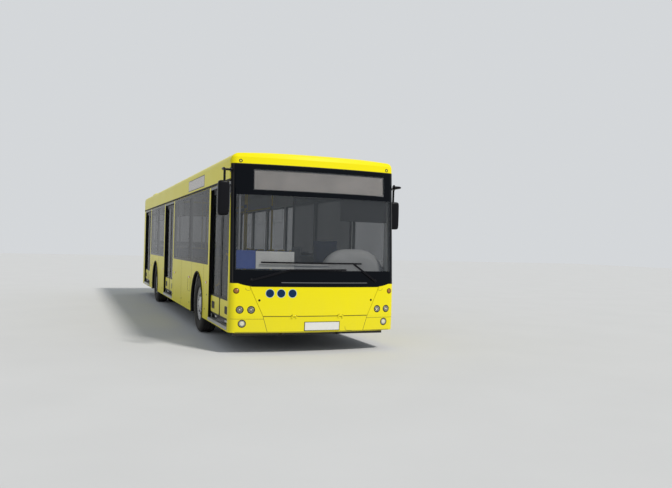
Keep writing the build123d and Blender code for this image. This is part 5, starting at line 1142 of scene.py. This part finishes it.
# Each dial's place across, its radius and its needle's drop; then depths of its face, rim and marks
DIALS = ((0.470, 0.034, 0.015), (0.550, 0.034, 0.015), (0.665, 0.056, 0.024),
         (0.790, 0.034, 0.015), (0.865, 0.034, 0.015))
DIAL_FACE_T, DIAL_RIM_AT, DIAL_RIM_R, MARK_AT = 0.001, 0.008, 0.003, 0.007
MARKS, MARK_ANGLE, MARK_REACH, MARK_HALF, MARK_T = 6, 20, (0.80, 0.92), 0.0008, 0.0006
NEEDLE_REACH, NEEDLE_HALF, NEEDLE_T = 0.55, 0.0015, 0.001
SWITCH_ROWS, SWITCHES, SWITCH_X, SWITCH_PITCH, SWITCH_Z = (-5.370, -5.420), 7, 0.190, 0.019, 1.0602
SWITCH_W, SWITCH_HALF_D, SWITCH_ROUND, SWITCH_T = 0.015, 0.017, 0.003, 0.006
SWITCH_ROCK, SWITCH_ROCK_TURN = 0.3, 90


def on_cowl(a, b, depth):
    across = (1 - min(abs(a - COWL_X) / COWL_HALF, 1) ** COWL_SQUARE_A) ** 0.5
    along = (1 - abs(2 * b - 1) ** COWL_SQUARE_B) ** 0.5
    return (a, COWL_Y[0] + (COWL_Y[1] - COWL_Y[0]) * b, COWL_Z + COWL_RISE * across * along * depth)


def on_ledge(a, b, depth):
    lean = max(b - LEDGE[1][1] + LEDGE_ROUND, 0) / LEDGE_ROUND
    return on_front(a, b, depth - LEDGE_LEAN * lean * lean)


def on_switches(a, b, depth):
    return (a, b, SWITCH_Z + depth * (1 + SWITCH_ROCK * math.sin(b * SWITCH_ROCK_TURN)))


dash_grey = Finish("dash_grey", (0.30, 0.31, 0.32), 0.55, Specular_IOR_Level=0.3)
dull = dash_grey.noise(6.0, 5.0)
dash_grey.tone(dull, (0.44, 0.45, 0.455), (0.33, 0.335, 0.34))
dash_grey.rough(dull, 0.48, 0.2)
dash_grey.grain(700.0, 2.0, 0.15, 0.0004)
dress(dash_grey, "dashboard", "door_gear")
wheel_black = Finish("wheel_grain", (0.015, 0.015, 0.016), 0.5, Specular_IOR_Level=0.3)
wheel_black.rough(wheel_black.noise(18.0, 4.0), 0.36, 0.3)
wheel_black.grain(900.0, 3.0, 0.2, 0.0004)
dress(wheel_black, "steering_wheel")
cowl = sheet_on(on_cowl, (COWL_X - COWL_HALF, 0), (COWL_X + COWL_HALF, 1), 1, 36, 16, back=0)
fit("dash_cowl", [cowl], dash_grey, smooth=60)
ledge = sheet_on(on_ledge, *LEDGE, LEDGE_FACE, 14, 12, back=LEDGE_BACK)
fit("dash_ledge", [ledge], dash_grey, smooth=60)
# A laminate panel below the ledge closes the room behind the front flap from the passengers
bulkhead = solid_plate(upright(BULKHEAD_Y), rounded_loop(*BULKHEAD, BULKHEAD_ROUND), BULKHEAD_T)
fit("front_bulkhead", [bulkhead], cab_grey)
on_dials = upright(DIAL_PANEL_Y)
dial_faces = [solid_plate(on_dials, rounded_loop(*DIAL_PANEL, DIAL_PANEL_ROUND), DIAL_PANEL_T)]
dial_rims, ticks = [], []
for dial_x, dial_r, drop in DIALS:
    ring = [(dial_x + a, DIAL_Z + b) for a, b in circle(40, dial_r)]
    dial_faces.append(solid_plate(raised(on_dials, DIAL_PANEL_T), ring, DIAL_FACE_T))
    dial_rims.append(tube([on_dials(a, b, DIAL_RIM_AT) for a, b in ring], DIAL_RIM_R, 8, closed=True))
    for step in range(-MARKS, MARKS + 1):
        angle = math.radians(90 + step * MARK_ANGLE)
        across, rise = math.cos(angle), math.sin(angle)
        mark = box_loop((dial_r * MARK_REACH[0], -MARK_HALF), (dial_r * MARK_REACH[1], MARK_HALF))
        mark = [(dial_x + across * r - rise * w, DIAL_Z + rise * r + across * w) for r, w in mark]
        ticks.append(solid_plate(raised(on_dials, MARK_AT), mark, MARK_T))
    needle = [(dial_x - dial_r * NEEDLE_REACH, DIAL_Z - drop),
              (dial_x, DIAL_Z - NEEDLE_HALF), (dial_x, DIAL_Z + NEEDLE_HALF)]
    ticks.append(solid_plate(raised(on_dials, MARK_AT), needle, NEEDLE_T))
fit("dial_panel", dial_faces, wheel_black)
fit("dial_rims", dial_rims, chrome, smooth=60)
fit("dial_marks", ticks, plate_white)
switches = []
for row_y in SWITCH_ROWS:
    for step in range(SWITCHES):
        near = SWITCH_X + step * SWITCH_PITCH
        low, high = (near, row_y - SWITCH_HALF_D), (near + SWITCH_W, row_y + SWITCH_HALF_D)
        switches.append(solid_plate(on_switches, rounded_loop(low, high, SWITCH_ROUND, 2), SWITCH_T))
fit("dash_switches", switches, wheel_black)


# Inside the windscreen: a rigid dark moulded sun visor before the driver, near black so that it also paints
# the shade round it, a blank white board and a blank blue one that lean on the glass beside the door, as such
# buses carry for their route.
WHITE_BOARD, BLUE_BOARD = ((-0.900, 1.190), (-0.354, 1.434)), ((-1.176, 1.188), (-0.905, 1.443))
BOARD_FACE, BOARD_BACK = -0.026, -0.028
VISOR, VISOR_FACE, VISOR_BACK = ((0.355, 1.895), (1.145, 2.260)), -0.040, -0.043
board_white = Finish("board_white", (0.74, 0.74, 0.72), 0.6)
board_white.tone(board_white.noise(5.0, 4.0), (0.78, 0.78, 0.76), (0.66, 0.66, 0.64))
board_blue = Finish("board_blue", (0.02, 0.07, 0.36), 0.6)
board_blue.tone(board_blue.noise(5.0, 4.0), (0.016, 0.055, 0.32), (0.03, 0.09, 0.38))
# The visor's near-black is partly its own colour and partly painted shade.
visor_and_shade_black = Finish("visor_and_shade_black", (0.012, 0.012, 0.014), 0.85, Specular_IOR_Level=0.2)
visor_and_shade_black.grain(800.0, 2.0, 0.2, 0.0004)
visor_and_shade_black.rough(visor_and_shade_black.noise(12.0), 0.75, 0.2)
white = sheet_on(on_front, *WHITE_BOARD, BOARD_FACE, 12, 1, back=BOARD_BACK)
fit("route_board_white", [white], board_white)
blue = sheet_on(on_front, *BLUE_BOARD, BOARD_FACE, 10, 1, back=BOARD_BACK)
fit("route_board_blue", [blue], board_blue)
visor = sheet_on(on_front, *VISOR, VISOR_FACE, 14, 1, back=VISOR_BACK)
fit("sun_visor", [visor], visor_and_shade_black)


# Handrails: yellow powder-coated tubes, with moulded clamps at the floor and at the ceiling rail.
# Each pole's place is given across and along the bus; the last one stands on the rear podium.
POLES = ((-0.260, -2.560), (0.260, -2.560), (-0.260, -0.560), (0.260, -0.560),
         (-0.260, 1.330), (0.260, 1.330), (-0.260, 3.340), (0.200, 4.460))
FLOOR_Z, REAR_FLOOR_Z, REAR_FLOOR_Y = 0.360, 1.480, 4.400
# A clamp's foot flange, its collar and the clamp on the rail: radii and heights
FLANGE, COLLAR, RAIL_CLAMP = (0.0, 0.012, 0.045), (0.012, 0.040, 0.026), (2.195, 2.265, 0.024)
dress(grab_yellow, "handrails")
clamps = []
for pole_x, pole_y in POLES:
    foot = FLOOR_Z if pole_y < REAR_FLOOR_Y else REAR_FLOOR_Z
    for base, (low, high, radius) in ((foot, FLANGE), (foot, COLLAR), (0.0, RAIL_CLAMP)):
        clamps.append(tube([(pole_x, pole_y, base + low), (pole_x, pole_y, base + high)], radius, 20))
fit("rail_clamps", clamps, cab_grey, smooth=40)


# Ceiling lamps: two lines of long moulded diffusers under the roof lining.
# They are ribbed across, and yellowed a little with age.
LAMP_X, LAMP_Z, LAMP_HALF, LAMP_DROP, LAMP_LONG, LAMP_SIDES = 0.700, 2.758, 0.055, 0.030, 1.250, 10
LAMP_STARTS = (-4.100, -2.700, -1.300, 0.100, 1.500, 2.900, 4.300)
diffuser = Finish("ceiling_diffuser", (0.82, 0.82, 0.80), 0.4)
diffuser.tone(diffuser.noise(3.0, 4.0), (0.84, 0.84, 0.82), (0.74, 0.73, 0.69))
diffuser.bump((diffuser.place()[1] * 500.0).wave(), 0.2, 0.001)
diffusers = []
for side, sign in SIDES:
    bowl = []
    for step in range(LAMP_SIDES + 1):
        turn = math.pi * step / LAMP_SIDES
        bowl.append((sign * (LAMP_X + LAMP_HALF * math.cos(turn)), LAMP_Z - LAMP_DROP * math.sin(turn)))
    for start in LAMP_STARTS:
        diffusers.append(skin([[(a, place, b) for a, b in bowl] for place in (start, start + LAMP_LONG)]))
fit("ceiling_lamps", diffusers, diffuser, smooth=40)


# Rear lamps: four round lamps in a column at each corner: amber on top, two red, and clear below.
# The lenses sit a hair inside the skin and are ribbed in rings.
REAR_LEVELS = ((0.290, 0.012), (0.526, 0.0), (0.945, 0.0), (2.650, 0.045), (2.748, 0.060),
               (2.796, 0.090), (2.825, 0.140), (2.842, 0.220))
REAR_LAMP_X, REAR_CORNER_R = 1.120, 0.130
LENS_RINGS = ((0.004, -0.0006), (0.018, -0.0010), (0.020, -0.0022), (0.034, -0.0010), (0.036, -0.0024),
              (0.046, -0.0014), (0.0475, -0.0022), (0.0475, -0.016), (0.004, -0.016))
RIM_RINGS = ((0.0478, -0.0030), (0.0492, -0.0004), (0.0535, -0.0004), (0.0548, -0.0030),
             (0.0548, -0.018), (0.0478, -0.018))


def on_rear(across, height, out=0.0):
    """The point on the bus's rear at a place across and a height, moved out from the skin."""
    sign, reach = (1 if across >= 0 else -1), abs(across)
    back = REAR_Y - set_back(REAR_LEVELS, height)
    if reach <= REAR_LAMP_X:
        return (across, back + out, height)
    along = min(reach - REAR_LAMP_X, REAR_CORNER_R * 0.999)
    drop = math.sqrt(REAR_CORNER_R ** 2 - along ** 2)
    swell = 1 + out / REAR_CORNER_R
    return (sign * (REAR_LAMP_X + along * swell), back - REAR_CORNER_R + drop * swell, height)


red_lens = Finish("red_lens", (0.45, 0.010, 0.008), 0.12, Specular_IOR_Level=0.5)
faceted(red_lens, 190.0, (0.55, 0.015, 0.010), (0.20, 0.004, 0.004))
white_lens = Finish("reverse_lens", (0.70, 0.71, 0.72), 0.10, Specular_IOR_Level=0.5)
faceted(white_lens, 190.0, (0.78, 0.79, 0.80), (0.40, 0.41, 0.42))
rear_rims = []
for kind, height, finish in (("turn", 1.180, amber), ("tail", 1.040, red_lens),
                             ("stop", 0.900, red_lens), ("reverse", 0.760, white_lens)):
    centres = [(sign * REAR_LAMP_X, height) for side, sign in SIDES]
    pair = [round_on(on_rear, centre, LENS_RINGS, sectors=40) for centre in centres]
    rear_rims += [round_on(on_rear, centre, RIM_RINGS, True, 40) for centre in centres]
    fit(f"rear_{kind}_lamps", pair, finish, smooth=30)
fit("rear_lamp_rims", rear_rims, door_black, smooth=40, replaced=["rear_lamps"])


# Rear dress: dark louvre slots across the engine hatch, flat black strips of painted shade, with a blank plate
# above them, a long stop lamp under the roof and a pair of red marker lamps at the upper corners.
SLOTS, SLOT_HALF, SLOT_Z, SLOT_PITCH, SLOT_H, SLOT_T = 6, 0.800, 1.000, 0.034, 0.016, 0.0009
REAR_BACKING, REAR_PLATE = ((-0.268, 1.236), (0.268, 1.364)), ((-0.260, 1.244), (0.260, 1.356))
STOP_LAMP, STOP_LAMP_T = ((-0.180, 2.450), (0.180, 2.480)), 0.006
REAR_MARKER_AT, REAR_MARKER = (1.050, 2.690), (0.020, 0.008)
# Painted shade: a flat black strip for the shadow under each louvre.
slot_shades = []
for row in range(SLOTS):
    foot = SLOT_Z + row * SLOT_PITCH
    slot_shades.append(sheet_on(on_rear, (-SLOT_HALF, foot), (SLOT_HALF, foot + SLOT_H), SLOT_T, 20))
fit("hatch_louvre_shades", slot_shades, joint_and_shade_black, "engine_hatch")
backing = sheet_on(on_rear, *REAR_BACKING, BACKING_T, 4)
fit("rear_plate_backing", [backing], door_black, "engine_hatch")
fit("rear_plate", [sheet_on(on_rear, *REAR_PLATE, PLATE_T, 4)], plate_white, "engine_hatch")
lights = [sheet_on(on_rear, *STOP_LAMP, STOP_LAMP_T, 8)]
for side, sign in SIDES:
    lights.append(round_on(on_rear, (sign * REAR_MARKER_AT[0], REAR_MARKER_AT[1]), dome(*REAR_MARKER)))
fit("rear_marker_lamps", lights, red_lens, smooth=50)


# Left side: the louvred air grille before the engine's radiator has a black frame with two posts.
# On both sides, fine joints show round the flat painted doors of the filler and the batteries.
GRILLE_Y, GRILLE_Z, GRILLE_RIM, GRILLE_T = (4.300, 5.440), (0.620, 1.500), 0.022, 0.005
GRILLE_POSTS, GRILLE_POST_W = (4.664, 5.050), 0.020
FLAPS = ((left_side, (-2.650, 0.700), (-2.330, 0.980)), (left_side, (1.000, 0.420), (1.640, 0.900)),
         (right_side, (-2.560, 0.640), (-2.300, 0.900)))
FLAP_ROUND, JOINT_OUT, JOINT_R = 0.03, 0.0006, 0.0018
grille = []
for foot in (GRILLE_Z[0], GRILLE_Z[1] - GRILLE_RIM):
    grille.append(box_loop((GRILLE_Y[0], foot), (GRILLE_Y[1], foot + GRILLE_RIM)))
for start, wide in ((GRILLE_Y[0], GRILLE_RIM), (GRILLE_Y[1] - GRILLE_RIM, GRILLE_RIM),
                    (GRILLE_POSTS[0], GRILLE_POST_W), (GRILLE_POSTS[1], GRILLE_POST_W)):
    grille.append(box_loop((start, GRILLE_Z[0]), (start + wide, GRILLE_Z[1])))
grille = [solid_plate(left_side, loop, -GRILLE_T) for loop in grille]
fit("radiator_grille_frame", grille, door_black)
joints = []
for surface, low, high in FLAPS:
    outline = [surface(a, b, -JOINT_OUT) for a, b in rounded_loop(low, high, FLAP_ROUND, 6)]
    joints.append(tube(outline, JOINT_R, 6, closed=True))
fit("flap_joints", joints, joint_and_shade_black)


# Roof: two hinged escape hatches on rubber seals, and at the rear a moulded air intake hood,
# painted with the roof, that is open to the back, where a flat black plate paints the shade in its opening.
HATCH_SEAL_IN, HATCH_SEAL_ROUND, HATCH_SEAL_Z, HATCH_SEAL_R = 0.02, 0.03, 2.866, 0.005
HOOD_X, HOOD_TOP, HOOD_FOOT, OPENING_SHADE_Y, OPENING_SHADE_T = (-1.080, -0.740), 2.912, 2.834, 5.560, 0.003
# The hood's rise along the bus, and across it as shares of its width and height
HOOD_ROWS = ((4.780, 0.02), (4.840, 0.40), (4.920, 0.78), (5.020, 0.96), (5.120, 1.0),
             (5.540, 1.0), (5.560, 0.97))
HOOD_SECTION = ((0.0, 0.0), (0.02, 0.45), (0.06, 0.80), (0.14, 0.97), (0.30, 1.0),
                (0.70, 1.0), (0.86, 0.97), (0.94, 0.80), (0.98, 0.45), (1.0, 0.0))
OPENING_SHADE_LOOP = ((-1.060, 2.822), (-0.760, 2.828), (-0.770, 2.900), (-1.050, 2.900))
hatch_seals = []
for name in ("roof_hatch_front", "roof_hatch_rear"):
    low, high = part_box(name)
    loop = rounded_loop((low[0] + HATCH_SEAL_IN, low[1] + HATCH_SEAL_IN),
                        (high[0] - HATCH_SEAL_IN, high[1] - HATCH_SEAL_IN), HATCH_SEAL_ROUND)
    hatch_seals.append(tube([(a, b, HATCH_SEAL_Z) for a, b in loop], HATCH_SEAL_R, 8, closed=True))
fit("hatch_seals", hatch_seals, rubber)
hood = []
for place, share in HOOD_ROWS:
    ring = []
    for a, lift in HOOD_SECTION:
        across = HOOD_X[0] + (HOOD_X[1] - HOOD_X[0]) * a
        foot = HOOD_FOOT - across * across / ROOF_BOW
        ring.append((across, place, foot + (HOOD_TOP - foot) * lift * share))
    hood.append(ring)
fit("roof_intake_hood", [skin(hood)], kick_paint, smooth=45)
# Painted shade: a flat black plate standing for the shadow in the hood's open back.
fit("roof_intake_shade", [solid_plate(upright(OPENING_SHADE_Y), OPENING_SHADE_LOOP, OPENING_SHADE_T)], joint_and_shade_black)


# Underframe: welded steel rails, cross members and jack pads, sprayed with black wax that has
# gone dull and grey with road dust; the towing eyes belong to it.
chassis = Finish("underframe_wax", (0.030, 0.030, 0.032), 0.7, Specular_IOR_Level=0.3)
road_dust = chassis.noise(7.0, 6.0)
chassis.tone(road_dust, (0.022, 0.022, 0.024), (0.11, 0.10, 0.085))
chassis.rough(road_dust, 0.58, 0.3)
chassis.grain(160.0, 4.0, 0.2, 0.001)
dress(chassis, "underframe")


# Axles and steering knuckles: cast and forged iron, painted black, with bare worn edges.
# Rust comes through the paint in patches.
iron = Finish("axle_iron", (0.045, 0.044, 0.043), 0.55, Metallic=0.3)
rust = iron.noise(19.0, 6.0)
iron.tone(rust.over(0.58, 0.12), (0.045, 0.045, 0.046), (0.13, 0.060, 0.028))
iron.rough(rust, 0.45, 0.35)
iron.grain(240.0, 4.0, 0.35, 0.001)
dress(iron, "front_axle", "rear_axle", "knuckle_left", "knuckle_right")


# Engine: a grey-green painted iron block in its tower, oily in patches and rough as cast.
# The oil lies dark and shining over the dull paint.
engine_paint = Finish("engine_paint", (0.12, 0.15, 0.14), 0.5, Metallic=0.2)
oil = engine_paint.noise(6.0, 6.0)
engine_paint.tone(oil.over(0.52, 0.2), (0.15, 0.18, 0.17), (0.035, 0.030, 0.025))
engine_paint.rough(oil, 0.60, -0.35)
engine_paint.grain(180.0, 4.0, 0.3, 0.001)
dress(engine_paint, "engine")
